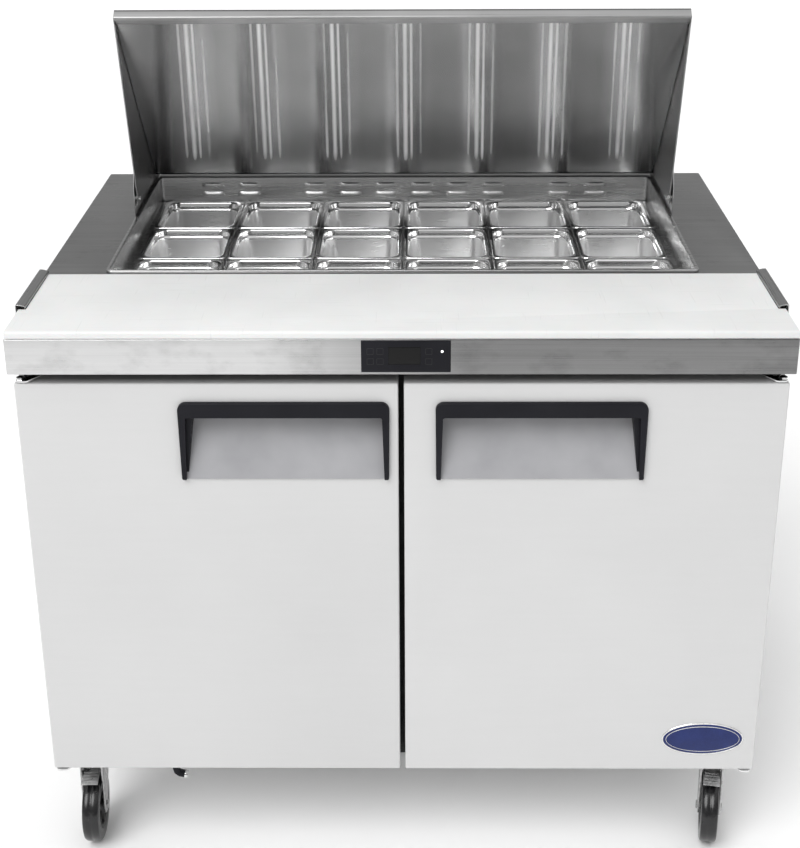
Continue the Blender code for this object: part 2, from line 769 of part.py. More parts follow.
def make_fork(name, place, degrees):
    """Swivel head, two legs and the axle, made about its own upright axis and then placed."""
    fork = cylinder(name, (0, 0, HEAD_TOP - HEAD_HEIGHT / 2), (0, 0, 1), HEAD_RADIUS, HEAD_HEIGHT, 20)
    half = LEG_X + LEG_THICK + BRIDGE_MARGIN
    join(fork, box("bridge", (-half, BRIDGE_FRONT, BRIDGE_LOW), (half, BRIDGE_BACK, BRIDGE_HIGH)))
    leg_top = (BRIDGE_LOW + BRIDGE_HIGH) / 2
    axle_z = WHEEL_RADIUS
    leg = [
        (BRIDGE_FRONT + LEG_INSET, leg_top),
        (BRIDGE_BACK - LEG_INSET, leg_top),
        (CASTER_TRAIL + LEG_TIP_HALF, axle_z),
        (CASTER_TRAIL + LEG_TIP_HALF / 2, axle_z - LEG_TIP_HALF),
        (CASTER_TRAIL - LEG_TIP_HALF / 2, axle_z - LEG_TIP_HALF),
        (CASTER_TRAIL - LEG_TIP_HALF, axle_z),
    ]
    join(fork, prism_x("leg", leg, LEG_X, LEG_X + LEG_THICK))
    join(fork, prism_x("leg", leg, -LEG_X - LEG_THICK, -LEG_X))
    axle_place = (0, CASTER_TRAIL, axle_z)
    axle_length = 2 * (LEG_X + AXLE_OVERHANG)
    join(fork, cylinder("axle", axle_place, (1, 0, 0), AXLE_RADIUS, axle_length, 12))
    finish(fork, "zinc")
    return turned(fork, place, degrees)


HUB_RADIUS = 0.038
TYRE_INNER = 0.042
HUB_INSET = 0.001
SHOULDER_DROP = 0.004
SHOULDER_WIDTH = 0.006
BORE_CLEARANCE = 0.0004


def make_wheel(name, place, degrees):
    """Hub and tyre turned about the axle, with rounded shoulders."""
    half = WHEEL_WIDTH / 2
    side = [
        (AXLE_RADIUS + BORE_CLEARANCE, half - HUB_INSET),
        (HUB_RADIUS, half - HUB_INSET),
        (TYRE_INNER, half),
        (WHEEL_RADIUS - SHOULDER_DROP, half),
        (WHEEL_RADIUS, half - SHOULDER_WIDTH),
    ]
    profile = [(radius, -height) for radius, height in side] + side[::-1]
    wheel = lathe(name, profile, 24, (0, CASTER_TRAIL, WHEEL_RADIUS), (1, 0, 0), "tyre")
    return turned(smooth(wheel), place, degrees)


PEDAL_PIVOT_Y = -0.040
PEDAL_PIVOT_Z = 0.146
PEDAL_LENGTH = 0.041
PEDAL_FALL = 0.008
PEDAL_THICK = 0.004
PEDAL_HALF = 0.015
BARREL_RADIUS = 0.0045
BARREL_LENGTH = 0.032


def make_pedal(name, place, degrees):
    """Foot lever between the fork's legs: a tread that slopes out over the wheel, on a pivot barrel."""
    half_thick = PEDAL_THICK / 2
    tip_y = PEDAL_PIVOT_Y - PEDAL_LENGTH
    tip_z = PEDAL_PIVOT_Z - PEDAL_FALL
    tread = [
        (PEDAL_PIVOT_Y, PEDAL_PIVOT_Z - half_thick),
        (tip_y, tip_z - half_thick),
        (tip_y, tip_z + half_thick),
        (PEDAL_PIVOT_Y, PEDAL_PIVOT_Z + half_thick),
    ]
    pedal = prism_x(name, tread, -PEDAL_HALF, PEDAL_HALF)
    centre = (0, PEDAL_PIVOT_Y, PEDAL_PIVOT_Z)
    join(pedal, cylinder("barrel", centre, (1, 0, 0), BARREL_RADIUS, BARREL_LENGTH, 12))
    finish(pedal, "zinc")
    return turned(pedal, place, degrees)


def make_casters():
    turns = {"front_left": FRONT_LEFT_TURN, "front_right": FRONT_RIGHT_TURN}
    for where, place in caster_places().items():
        degrees = turns.get(where, 0.0)
        spin = Matrix.Rotation(math.radians(degrees), 3, "Z")
        fork = make_fork("caster_fork_" + where, place, degrees)
        wheel = make_wheel("caster_wheel_" + where, place, degrees)
        pieces = [fork, wheel]
        if where.startswith("front"):
            pieces.append(make_pedal("brake_pedal_" + where, place, degrees))
        pivot("swivel_" + where, (*place, HEAD_TOP), *pieces)
        axle = Vector((*place, 0)) + spin @ Vector((0, CASTER_TRAIL, WHEEL_RADIUS))
        pivot("axle_" + where, axle)


# ---- inside and behind --------------------------------------------------------------------------------
MODULE_DEPTH = 0.042


def make_control_module():
    low = (MODULE_LEFT, back(0), up(MODULE_LOW))
    high = (MODULE_RIGHT, back(MODULE_DEPTH), up(MODULE_HIGH))
    return box("control_module", low, high, "black")


SHELF_Z = 0.528
SHELF_BARS = 22
SHELF_ROD = 0.006


def make_wire_shelf():
    left, right = -CAVITY_HALF + 0.012, CAVITY_HALF - 0.012
    front, rear = back(CABINET_FRONT) + MULLION_DEPTH + 0.012, CAVITY_STEP_Y - 0.010
    shelf = box("wire_shelf", (left, front, SHELF_Z), (right, rear, SHELF_Z + SHELF_ROD))
    pitch = (right - left - SHELF_ROD) / SHELF_BARS
    middle = (front + rear) / 2
    for index in range(SHELF_BARS):
        x = left + SHELF_ROD + index * pitch
        for y_low, y_high in ((front + SHELF_ROD, middle - 0.003), (middle + 0.003, rear - SHELF_ROD)):
            slot_low = (x, y_low, SHELF_Z - 0.01)
            slot_high = (x + pitch - SHELF_ROD, y_high, SHELF_Z + 0.02)
            cut(shelf, box("slot", slot_low, slot_high))
    return finish(shelf, "zinc")


NICHE_FLOOR = CABINET_BOTTOM + SHEET + GAP
COMPRESSOR_X = -0.300
COMPRESSOR_RADIUS = 0.070
COMPRESSOR_FOOT = 0.078
COMPRESSOR_SIDE = 0.130
COMPRESSOR_DOME = 0.045
COMPRESSOR_SEGMENTS = 24
FAN_SEGMENTS = 16
FAN_HUB_SHARE = 0.28
FAN_HUB_LENGTH = 0.020
BLADE_HALF_SHARE = 0.20
BLADE_HALF_THICK = 0.0012
BLADE_PITCH = 28.0


def make_compressor():
    """Welded can on a wider foot, with a domed top."""
    centre = (COMPRESSOR_X, (NICHE_FRONT_Y + back(CABINET_BACK)) / 2, NICHE_FLOOR)
    profile = [
        (COMPRESSOR_FOOT, 0.0),
        (COMPRESSOR_FOOT, 0.012),
        (COMPRESSOR_RADIUS, 0.022),
        (COMPRESSOR_RADIUS, COMPRESSOR_SIDE),
    ]
    for angle in (0.5, 0.95, 1.3):
        rise = COMPRESSOR_SIDE + COMPRESSOR_DOME * math.sin(angle)
        profile.append((COMPRESSOR_RADIUS * math.cos(angle), rise))
    turns = [2 * math.pi * s / COMPRESSOR_SEGMENTS for s in range(COMPRESSOR_SEGMENTS)]
    rings = []
    for radius, height in profile:
        rings.append([(radius * math.cos(turn), radius * math.sin(turn), height) for turn in turns])
    return smooth(loft("compressor", rings, centre, "black"))


def make_finned_block(name, low, high, fins, kind):
    """A coil block whose front and back show the grooves between its fins."""
    block = box(name, low, high)
    pitch = (high[0] - low[0]) / fins
    depth = 0.006
    for index in range(1, fins):
        x = low[0] + index * pitch
        for y_low, y_high in ((low[1] - 0.01, low[1] + depth), (high[1] - depth, high[1] + 0.01)):
            groove_low = (x - pitch * 0.25, y_low, low[2] + 0.008)
            groove_high = (x + pitch * 0.25, y_high, high[2] - 0.008)
            cut(block, box("groove", groove_low, groove_high))
    return finish(block, kind)


def make_fan(name, centre, radius, blades, kind):
    """Hub and pitched blades that turn about Y."""
    hub = cylinder(name, centre, (0, 1, 0), radius * FAN_HUB_SHARE, FAN_HUB_LENGTH, FAN_SEGMENTS)
    half = radius * BLADE_HALF_SHARE
    for index in range(blades):
        blade = box("blade", (-half, -BLADE_HALF_THICK, half), (half, BLADE_HALF_THICK, radius))
        pitch = Matrix.Rotation(math.radians(BLADE_PITCH), 4, "Z")
        around = Matrix.Rotation(2 * math.pi * index / blades, 4, "Y")
        blade.data.transform(Matrix.Translation(centre) @ around @ pitch)
        join(hub, blade)
    finish(hub, kind)
    pivot(name + "_axis", centre, hub)
    return hub


GRILLE_SLOTS = 9
SLOT_HALF = 0.006
SLOT_SPANS = ((-0.46, -0.17), (-0.145, 0.145), (0.17, 0.46))


def make_rear_grille():
    back_y = back(CABINET_BACK) + GAP
    low = (-NICHE_HALF, back_y, CABINET_BOTTOM + 0.008)
    high = (NICHE_HALF, back_y + SHEET, NICHE_TOP)
    grille = box("rear_grille", low, high)
    rise = (high[2] - low[2]) / (GRILLE_SLOTS + 1)
    for index in range(1, GRILLE_SLOTS + 1):
        z = low[2] + index * rise
        for left, right in SLOT_SPANS:
            slot_low = (left, back_y - 0.01, z - SLOT_HALF)
            slot_high = (right, back_y + 0.01, z + SLOT_HALF)
            cut(grille, box("slot", slot_low, slot_high))
    return finish(grille, "coated")


def make_machinery():
    make_compressor()
    middle_y = (NICHE_FRONT_Y + back(CABINET_BACK)) / 2
    coil_low = (0.060, back(CABINET_BACK) - 0.080, NICHE_FLOOR + GAP)
    coil_high = (0.360, back(CABINET_BACK) - 0.020, NICHE_TOP - 0.030)
    make_finned_block("condenser_coil", coil_low, coil_high, 16, "copper")
    fan_centre = (0.210, middle_y - 0.040, (coil_low[2] + coil_high[2]) / 2)
    make_fan("condenser_fan", fan_centre, 0.100, 5, "black")
    cold_low = (-0.260, 0.290, CAVITY_STEP_Z + SHEET + GAP)
    cold_high = (0.260, 0.350, CAVITY_STEP_Z + 0.165)
    make_finned_block("evaporator_coil", cold_low, cold_high, 20, "copper")
    make_fan("evaporator_fan", (0.0, 0.255, CAVITY_STEP_Z + 0.095), 0.070, 5, "black")
    make_rear_grille()


def build():
    clear_scene()
    make_cabinet_shell()
    make_cabinet_foam()
    make_cabinet_liner()
    make_countertop()
    make_cutting_board()
    make_board_guard("board_guard_left", -1)
    make_board_guard("board_guard_right", 1)
    make_well_liner()
    for index in range(1, COLUMNS):
        make_adapter_bar(index)
    for row in range(ROWS):
        for column in range(COLUMNS):
            make_pan(row, column)
    lid = [make_lid_shell(), make_lid_liner()]
    pivot("lid_hinge", (0, back(LID_PIVOT[0]), up(LID_PIVOT[1])), *lid)
    make_rear_hood()
    make_door(-1)
    make_door(1)
    make_casters()
    make_control_module()
    make_wire_shelf()
    make_machinery()


build()
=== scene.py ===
"""Looks of a two-door refrigerated sandwich prep table.

Fine meshes, procedural finishes, stage, light and camera. Metres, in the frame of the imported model:
+X to the user's right, +Y to the back, +Z up, origin on the floor.
"""

import json
import math

import bmesh
import bpy
from mathutils import Matrix, Vector


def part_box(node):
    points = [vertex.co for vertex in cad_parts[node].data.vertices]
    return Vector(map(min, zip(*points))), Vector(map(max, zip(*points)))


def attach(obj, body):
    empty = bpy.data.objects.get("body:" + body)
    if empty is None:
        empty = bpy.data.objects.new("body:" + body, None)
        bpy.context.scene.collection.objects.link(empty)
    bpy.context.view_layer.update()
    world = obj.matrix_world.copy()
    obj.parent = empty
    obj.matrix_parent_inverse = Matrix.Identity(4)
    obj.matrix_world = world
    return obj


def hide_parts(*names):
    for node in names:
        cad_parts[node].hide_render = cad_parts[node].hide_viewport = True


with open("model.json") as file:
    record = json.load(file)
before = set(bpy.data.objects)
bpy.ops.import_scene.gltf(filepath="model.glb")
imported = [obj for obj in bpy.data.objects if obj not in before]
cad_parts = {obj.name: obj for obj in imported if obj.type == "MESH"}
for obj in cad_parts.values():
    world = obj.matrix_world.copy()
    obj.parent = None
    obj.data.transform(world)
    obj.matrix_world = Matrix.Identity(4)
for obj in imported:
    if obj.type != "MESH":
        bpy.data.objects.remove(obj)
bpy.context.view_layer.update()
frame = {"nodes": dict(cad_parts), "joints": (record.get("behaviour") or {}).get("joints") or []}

SHEET = 0.0012
GAP = 0.0003
SMOOTH_ANGLE = 35.0
SHARP_ANGLE = 30.0
PAST = 0.01  # how far a cutting tool reaches past what it cuts


def joint(name):
    """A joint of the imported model, by name."""
    return next(j for j in frame["joints"] if j["name"] == name)


def low_of(node):
    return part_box(node)[0]


def middle(low, high):
    """The point halfway between a box's corners."""
    return tuple((a + b) / 2 for a, b in zip(low, high))


def grown(low, high, by):
    """A box's corners moved out by an amount."""
    return tuple(c - by for c in low), tuple(c + by for c in high)


def ramp(value, start, end):
    """0 at start and 1 at end, held outside them."""
    return min(1.0, max(0.0, (value - start) / (end - start)))


# ---- mesh helpers -------------------------------------------------------------------------------------
def object_from(name, bm):
    """An object from a bmesh, shaded smooth except across sharp edges."""
    bmesh.ops.recalc_face_normals(bm, faces=bm.faces)
    mesh = bpy.data.meshes.new(name)
    bm.to_mesh(mesh)
    bm.free()
    mesh.shade_smooth()
    mesh.set_sharp_from_angle(angle=math.radians(SMOOTH_ANGLE))
    obj = bpy.data.objects.new(name, mesh)
    bpy.context.collection.objects.link(obj)
    return obj


def arc(centre, radius, start, end, steps):
    """Points on an arc in a plane, angles in degrees, both ends included."""
    angles = [math.radians(start + (end - start) * i / steps) for i in range(steps + 1)]
    return [(centre[0] + radius * math.cos(a), centre[1] + radius * math.sin(a)) for a in angles]


def filleted(points, radii, steps=5, closed=True):
    """A polyline whose corners are replaced by arcs; radii is one number or one for each corner."""
    if not isinstance(radii, (list, tuple)):
        radii = [radii] * len(points)
    made = []
    count = len(points)
    for i, (point, radius) in enumerate(zip(points, radii)):
        here = Vector(point)
        if radius <= 0 or (not closed and i in (0, count - 1)):
            made.append(tuple(here))
            continue
        before = (Vector(points[i - 1]) - here).normalized()
        after = (Vector(points[(i + 1) % count]) - here).normalized()
        half = before.angle(after) / 2
        reach = radius / math.tan(half)
        centre = here + (before + after).normalized() * (radius / math.sin(half))
        first = here + before * reach - centre
        last = here + after * reach - centre
        turn = first.angle_signed(last)
        for step in range(steps + 1):
            spin = Matrix.Rotation(-turn * step / steps, 2)
            made.append(tuple(centre + spin @ first))
    return made


def strip(path, thickness, radius, steps=4):
    """Closed outline of a folded sheet whose left face follows the path, with round folds."""
    count = len(path)
    inner = []
    for i, point in enumerate(path):
        here = Vector(point)
        before = (here - Vector(path[i - 1])).normalized() if i > 0 else None
        after = (Vector(path[i + 1]) - here).normalized() if i < count - 1 else None
        before = before or after
        after = after or before
        side_a = Vector((before.y, -before.x))
        side_b = Vector((after.y, -after.x))
        miter = (side_a + side_b).normalized()
        inner.append(tuple(here + miter * thickness / max(0.2, miter.dot(side_a))))
    near = filleted(path, radius, steps, closed=False)
    far = filleted(inner, max(0.0003, radius - thickness), steps, closed=False)
    return near + far[::-1]


def placed(axis, a, b, along):
    """A 3-D point from two outline coordinates and the place along the extrusion axis."""
    return {"x": (along, a, b), "y": (a, along, b), "z": (a, b, along)}[axis]


def round_edges(bm, radius, segments, pick=None):
    """Rounds sharp edges; pick chooses among them."""
    bm.normal_update()
    edges = []
    for edge in bm.edges:
        if len(edge.link_faces) == 2 and edge.calc_face_angle(0) > math.radians(SHARP_ANGLE):
            if pick is None or pick(edge):
                edges.append(edge)
    bmesh.ops.bevel(
        bm, geom=edges, offset=radius, segments=segments, profile=0.5, affect="EDGES", clamp_overlap=True
    )


def prism(name, outline, axis, low, high, radius=0.0, segments=3, pick=None):
    """An outline extruded along an axis, with its sharp edges rounded."""
    bm = bmesh.new()
    near = [bm.verts.new(placed(axis, a, b, low)) for a, b in outline]
    far = [bm.verts.new(placed(axis, a, b, high)) for a, b in outline]
    bm.faces.new(near)
    bm.faces.new(far[::-1])
    count = len(outline)
    for i in range(count):
        j = (i + 1) % count
        bm.faces.new((near[i], far[i], far[j], near[j]))
    bmesh.ops.recalc_face_normals(bm, faces=bm.faces)
    if radius:
        round_edges(bm, radius, segments, pick)
    return object_from(name, bm)


def slab(name, low, high, radius=0.0, segments=3, pick=None):
    """A box between two corners."""
    outline = [(low[0], low[1]), (high[0], low[1]), (high[0], high[1]), (low[0], high[1])]
    return prism(name, outline, "z", low[2], high[2], radius, segments, pick)


def loft(name, rings, cap_first=False, cap_last=False, around=True, wrap=False):
    """Skins rows of points; around closes each row, wrap joins the last row to the first."""
    bm = bmesh.new()
    rows = [[bm.verts.new(p) for p in ring] for ring in rings]
    count = len(rows[0])
    pairs = list(zip(rows, rows[1:]))
    if wrap:
        pairs.append((rows[-1], rows[0]))
    for low, high in pairs:
        for i in range(count if around else count - 1):
            j = (i + 1) % count
            bm.faces.new((low[i], low[j], high[j], high[i]))
    if cap_first:
        bm.faces.new(rows[0][::-1])
    if cap_last:
        bm.faces.new(rows[-1])
    return object_from(name, bm)


def rounded_ring(half_x, half_y, radius, z, centre=(0.0, 0.0), steps=6):
    """Points round a rectangle with round corners, level at z."""
    corners = ((1, 1, 0), (-1, 1, 90), (-1, -1, 180), (1, -1, 270))
    points = []
    for side_x, side_y, start in corners:
        corner = (centre[0] + side_x * (half_x - radius), centre[1] + side_y * (half_y - radius))
        points += [(x, y, z) for x, y in arc(corner, radius, start, start + 90, steps)]
    return points


def towards(axis):
    """The turn that brings +Z to an axis."""
    return Vector((0, 0, 1)).rotation_difference(Vector(axis)).to_matrix().to_4x4()


def lathe(name, profile, segments=48, centre=(0, 0, 0), axis=(0, 0, 1), closed=False):
    """Turns a (radius, height) profile about an axis; open ends on the axis are closed by a cap."""
    turn = Matrix.Translation(centre) @ towards(axis)
    rings = []
    for radius, height in profile:
        ring = []
        for s in range(segments):
            angle = 2 * math.pi * s / segments
            ring.append(turn @ Vector((radius * math.cos(angle), radius * math.sin(angle), height)))
        rings.append(ring)
    return loft(name, rings, not closed, not closed, True, closed)


def tube(name, points, radius, sides=10, closed=False):
    """A round wire through points, with its ends capped."""
    points = [Vector(p) for p in points]
    count = len(points)
    rings = []
    side = None
    for i, point in enumerate(points):
        before = points[i - 1] if closed or i > 0 else point
        after = points[(i + 1) % count] if closed or i < count - 1 else point
        ahead = (after - before).normalized()
        if side is None:
            side = ahead.orthogonal().normalized()
        side = (side - ahead * side.dot(ahead)).normalized()
        up = ahead.cross(side)
        rings.append([
            point + (side * math.cos(a) + up * math.sin(a)) * radius
            for a in (2 * math.pi * s / sides for s in range(sides))
        ])
    return loft(name, rings, not closed, not closed, True, closed)


def settle(obj):
    """Applies an object's modifiers to its mesh and removes them."""
    bpy.context.view_layer.update()
    graph = bpy.context.evaluated_depsgraph_get()
    mesh = bpy.data.meshes.new_from_object(obj.evaluated_get(graph))
    obj.modifiers.clear()
    obj.data = mesh


def thicken(obj, thickness, offset=-1.0):
    """Gives a skin the thickness of its sheet."""
    change = obj.modifiers.new("sheet", "SOLIDIFY")
    change.thickness = thickness
    change.offset = offset


def cut(obj, *tools):
    """Cuts tools out of an object with the exact solver and removes them."""
    for tool in tools:
        change = obj.modifiers.new("cut", "BOOLEAN")
        change.operation = "DIFFERENCE"
        change.solver = "EXACT"
        change.object = tool
        settle(obj)
        bpy.data.objects.remove(tool, do_unlink=True)
    obj.data.shade_smooth()
    obj.data.set_sharp_from_angle(angle=math.radians(SMOOTH_ANGLE))
    return obj


def merge(name, *objects):
    """One object from several that share a finish."""
    bm = bmesh.new()
    for obj in objects:
        obj.data.transform(obj.matrix_basis)
        bm.from_mesh(obj.data)
        bpy.data.objects.remove(obj, do_unlink=True)
    mesh = bpy.data.meshes.new(name)
    bm.to_mesh(mesh)
    bm.free()
    made = bpy.data.objects.new(name, mesh)
    bpy.context.collection.objects.link(made)
    return made


def put(obj, body, material, nodes=()):
    """Gives a piece its finish, its body and the CAD nodes that it stands for."""
    obj.data.materials.clear()
    obj.data.materials.append(material)
    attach(obj, body)
    if nodes:
        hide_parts(*nodes)
    return obj


def repaint(node, material):
    """A new finish on a CAD node that stays."""
    obj = frame["nodes"][node]
    for i in range(max(1, len(obj.material_slots))):
        if i < len(obj.material_slots):
            obj.material_slots[i].material = material
        else:
            obj.data.materials.append(material)


def screw(name, place, axis, radius, height):
    """A pan-head screw with a crossed recess, standing on a face; axis points out of the face."""
    profile = [(radius * 0.999, 0.0), (radius, height * 0.35), (radius * 0.86, height * 0.8)]
    profile += [(radius * 0.5, height * 0.98), (radius * 0.001, height)]
    head = lathe(name, profile, 24, place, axis)
    turn = towards(axis)
    for quarter in (0, 90):
        half = (radius * 0.5, radius * 0.09, height * 0.35)
        tool = slab("slot", (-half[0], -half[1], height - half[2]), (half[0], half[1], height + half[2]))
        spin = Matrix.Rotation(math.radians(quarter + 20), 4, "Z")
        tool.data.transform(Matrix.Translation(place) @ turn @ spin)
        cut(head, tool)
    return head


# ---- finishes -----------------------------------------------------------------------------------------
class Finish:
    """A Principled material and short ways to add procedural detail to it, in object space."""

    def __init__(self, name, roughness=0.5, metallic=0.0, **fixed):
        self.material = bpy.data.materials.new(name)
        self.material.use_nodes = True
        self.tree = self.material.node_tree
        self.shader = self.tree.nodes["Principled BSDF"]
        self.shader.inputs["Roughness"].default_value = roughness
        self.shader.inputs["Metallic"].default_value = metallic
        for socket, value in fixed.items():
            self.shader.inputs[socket.replace("_", " ")].default_value = value
        self.coords = self.tree.nodes.new("ShaderNodeTexCoord")

    def link(self, source, target):
        self.tree.links.new(source, target)

    def node(self, kind, **values):
        """A new shader node with some of its inputs set."""
        made = self.tree.nodes.new(kind)
        for socket, value in values.items():
            made.inputs[socket.replace("_", " ")].default_value = value
        return made

    def noise(self, stretch=(1, 1, 1), detail=3.0, rough=0.55):
        """Noise whose cells are 1/stretch metres across on each axis."""
        mapping = self.node("ShaderNodeMapping", Scale=stretch)
        node = self.node("ShaderNodeTexNoise", Scale=1.0, Detail=detail, Roughness=rough)
        self.link(self.coords.outputs["Object"], mapping.inputs["Vector"])
        self.link(mapping.outputs["Vector"], node.inputs["Vector"])
        return node.outputs["Fac"]

    def cells(self, per_metre, feature="F1"):
        """Cells about 1/per_metre metres across."""
        node = self.node("ShaderNodeTexVoronoi", Scale=per_metre)
        node.feature = feature
        self.link(self.coords.outputs["Object"], node.inputs["Vector"])
        return node

    def spread(self, value, low, high, from_low=0.3, from_high=0.7):
        """Maps a value's range onto another, held at both ends."""
        ends = {"From_Min": from_low, "From_Max": from_high, "To_Min": low, "To_Max": high}
        node = self.node("ShaderNodeMapRange", **ends)
        self.link(value, node.inputs["Value"])
        return node.outputs["Result"]

    def math(self, operation, a, b):
        """Arithmetic on two numbers or sockets."""
        node = self.node("ShaderNodeMath")
        node.operation = operation
        for socket, value in zip(node.inputs, (a, b)):
            if isinstance(value, (int, float)):
                socket.default_value = value
            else:
                self.link(value, socket)
        return node.outputs["Value"]

    def colour(self, dark, light, value, from_low=0.3, from_high=0.7):
        """A base colour between dark and light, chosen by a value."""
        node = self.node("ShaderNodeValToRGB")
        for element, at, shade in zip(node.color_ramp.elements, (from_low, from_high), (dark, light)):
            element.position = at
            element.color = (*shade, 1.0)
        self.link(value, node.inputs["Fac"])
        self.link(node.outputs["Color"], self.shader.inputs["Base Color"])

    def roughness(self, value):
        self.link(value, self.shader.inputs["Roughness"])

    def place(self, axis, kind="Object"):
        """One object-space coordinate, in metres."""
        node = self.node("ShaderNodeSeparateXYZ")
        self.link(self.coords.outputs[kind], node.inputs["Vector"])
        return node.outputs[axis]

    def facing(self, axis):
        """One component of the surface's own direction in object space."""
        return self.place(axis, "Normal")

    def channel(self, colour, name):
        """One channel of a colour."""
        node = self.node("ShaderNodeSeparateColor")
        self.link(colour, node.inputs["Color"])
        return node.outputs[name]

    def mix(self, a, b, share):
        """Straight blend of two values."""
        kept = self.math("MULTIPLY", a, self.math("SUBTRACT", 1.0, share))
        return self.math("ADD", kept, self.math("MULTIPLY", b, share))

    def level(self, value):
        """A grey base colour from one value."""
        node = self.node("ShaderNodeCombineColor")
        for channel in ("Red", "Green", "Blue"):
            self.link(value, node.inputs[channel])
        self.link(node.outputs["Color"], self.shader.inputs["Base Color"])

    def grain_along(self, direction):
        """Draws reflections out along an object-space direction, square to the brushing."""
        x, y, z = direction
        vector = self.node("ShaderNodeCombineXYZ", X=x, Y=y, Z=z)
        turned = self.node("ShaderNodeVectorTransform")
        turned.vector_type = "VECTOR"
        turned.convert_from = "OBJECT"
        turned.convert_to = "WORLD"
        self.link(vector.outputs["Vector"], turned.inputs["Vector"])
        self.link(turned.outputs["Vector"], self.shader.inputs["Tangent"])

    def product(self, *factors):
        """Several values multiplied together."""
        made = factors[0]
        for factor in factors[1:]:
            made = self.math("MULTIPLY", made, factor)
        return made

    def bump(self, *layers):
        """Stacks (height, distance) layers of bump, distances in metres."""
        last = None
        for height, distance in layers:
            node = self.node("ShaderNodeBump", Strength=1.0, Distance=distance)
            self.link(height, node.inputs["Height"])
            if last:
                self.link(last, node.inputs["Normal"])
            last = node.outputs["Normal"]
        self.link(last, self.shader.inputs["Normal"])


def grey(level):
    return (level, level, level)


def brushed_steel(name, dark, light, roughness, along="x", grain=0.000004, **fixed):
    """Stainless sheet with fine brushing along one axis, smudges and a slightly uneven polish."""
    f = Finish(name, roughness, 1.0, **fixed)
    lines = f.noise([2.5 if axis == along else 700 for axis in "xyz"], 4.0, 0.7)
    bands = f.noise([1.2 if axis == along else 90 for axis in "xyz"], 3.0)
    smudge = f.noise((6, 6, 6), 4.0, 0.6)
    mixed = f.math("ADD", f.math("MULTIPLY", lines, 0.5), f.math("MULTIPLY", bands, 0.5))
    f.colour(grey(dark), grey(light), mixed, 0.35, 0.65)
    uneven = f.math("ADD", f.spread(lines, -0.05, 0.06), f.spread(smudge, -0.03, 0.05))
    f.roughness(f.math("ADD", uneven, roughness))
    f.bump((bands, grain * 3), (lines, grain))
    return f.material


def worktop_steel(name, top_painted_shade, apron_painted_light, apron_painted_shade, roughness):
    """Level brushed sheet with painted light and shade: the flat top is painted dark, and the apron is
    painted bright on the left, dulling to painted shade on the right.
    """
    f = Finish(name, roughness, 1.0)
    lines = f.noise((2.5, 700, 700), 4.0, 0.7)
    bands = f.noise((1.2, 90, 90), 3.0)
    smudge = f.noise((13, 13, 22), 4.0, 0.6)
    # painted light and shade: the apron's tone runs from bright at the left to dull at the right
    across = f.spread(f.place("X"), apron_painted_light, apron_painted_shade, -0.22, 0.10)
    apron = f.math("MULTIPLY", across, f.spread(smudge, 0.86, 1.0, 0.36, 0.52))
    # painted shade: faces turned to the front take the apron's tone, the flat top takes the darker top tone
    front = f.spread(f.facing("Y"), 1.0, 0.0, -0.9, -0.4)
    grain = f.math("ADD", f.spread(lines, -0.03, 0.03), f.spread(bands, -0.02, 0.02))
    f.level(f.math("ADD", f.mix(top_painted_shade, apron, front), grain))
    smear = f.spread(smudge, roughness - 0.03, roughness + 0.05)
    f.roughness(f.math("ADD", f.spread(lines, -0.04, 0.05), smear))
    f.bump((lines, 0.000003))
    return f.material


# Painted reflections on the lid's lining, as bright upright lines: groups across X, each mark as (offset,
# half width, strength).
LINE_PITCH = 0.1278
LINE_FAN = 0.105
LINE_SHIFT = 0.0105
LINE_REACH = 0.445
PAINTED_LINE_MARKS = (
    (-0.0200, 0.0022, 0.45),
    (-0.0058, 0.0030, 1.00),
    (0.0050, 0.0020, 0.90),
    (0.0215, 0.0024, 0.40),
)


def drawn_lining(name, dark, light, roughness, slope, low, high):
    """Lid's inner sheet: a soft mirror drawn out down the slope, with painted reflection lines that fan out
    downwards, a painted glow round each group and painted shade towards the tail.
    """
    f = Finish(name, roughness, 1.0, Anisotropic=1.0)
    haze = f.noise((5, 5, 5), 3.0, 0.6)
    fall = f.spread(f.place("Z"), 1.0, 0.0, low, high)
    fan = f.math("ADD", 1.0, f.math("MULTIPLY", fall, LINE_FAN))
    across = f.math("DIVIDE", f.math("SUBTRACT", f.place("X"), LINE_SHIFT), fan)
    uneven = f.spread(f.noise((24, 1.0, 3.0), 1.0), 0.45, 1.0, 0.36, 0.56)
    # painted reflections: bright upright lines in the base colour, with less metal and more roughness along
    # them
    marks = 0.0
    for offset, half, strength in PAINTED_LINE_MARKS:
        near = f.math("PINGPONG", f.math("SUBTRACT", across, offset), LINE_PITCH / 2)
        marks = f.math("ADD", marks, f.spread(near, strength, 0.0, half * 0.35, half * 1.6))
    fade = f.spread(f.place("Z"), 0.0, 1.0, low + 0.034, low + 0.062)
    within = f.spread(f.math("ABSOLUTE", across, 0.0), 1.0, 0.0, LINE_REACH - 0.01, LINE_REACH)
    marks = f.product(marks, uneven, f.product(fade, within))
    # painted glow: the sheet is lighter round each group of lines
    painted_glow = f.spread(f.math("PINGPONG", across, LINE_PITCH / 2), 1.25, 0.86, 0.0, 0.045)
    # painted shade: darker towards the low end, by the tail
    lower = f.spread(f.place("Z"), 0.74, 1.0, low + 0.01, low + 0.12)
    f.level(f.mix(f.product(f.spread(haze, dark, light), lower, painted_glow), 0.95, marks))
    f.link(f.math("SUBTRACT", 1.0, f.math("MULTIPLY", marks, 0.9)), f.shader.inputs["Metallic"])
    smear = f.spread(haze, roughness - 0.02, roughness + 0.03)
    f.roughness(f.math("ADD", smear, f.math("MULTIPLY", marks, 0.3)))
    f.grain_along(slope)
    return f.material


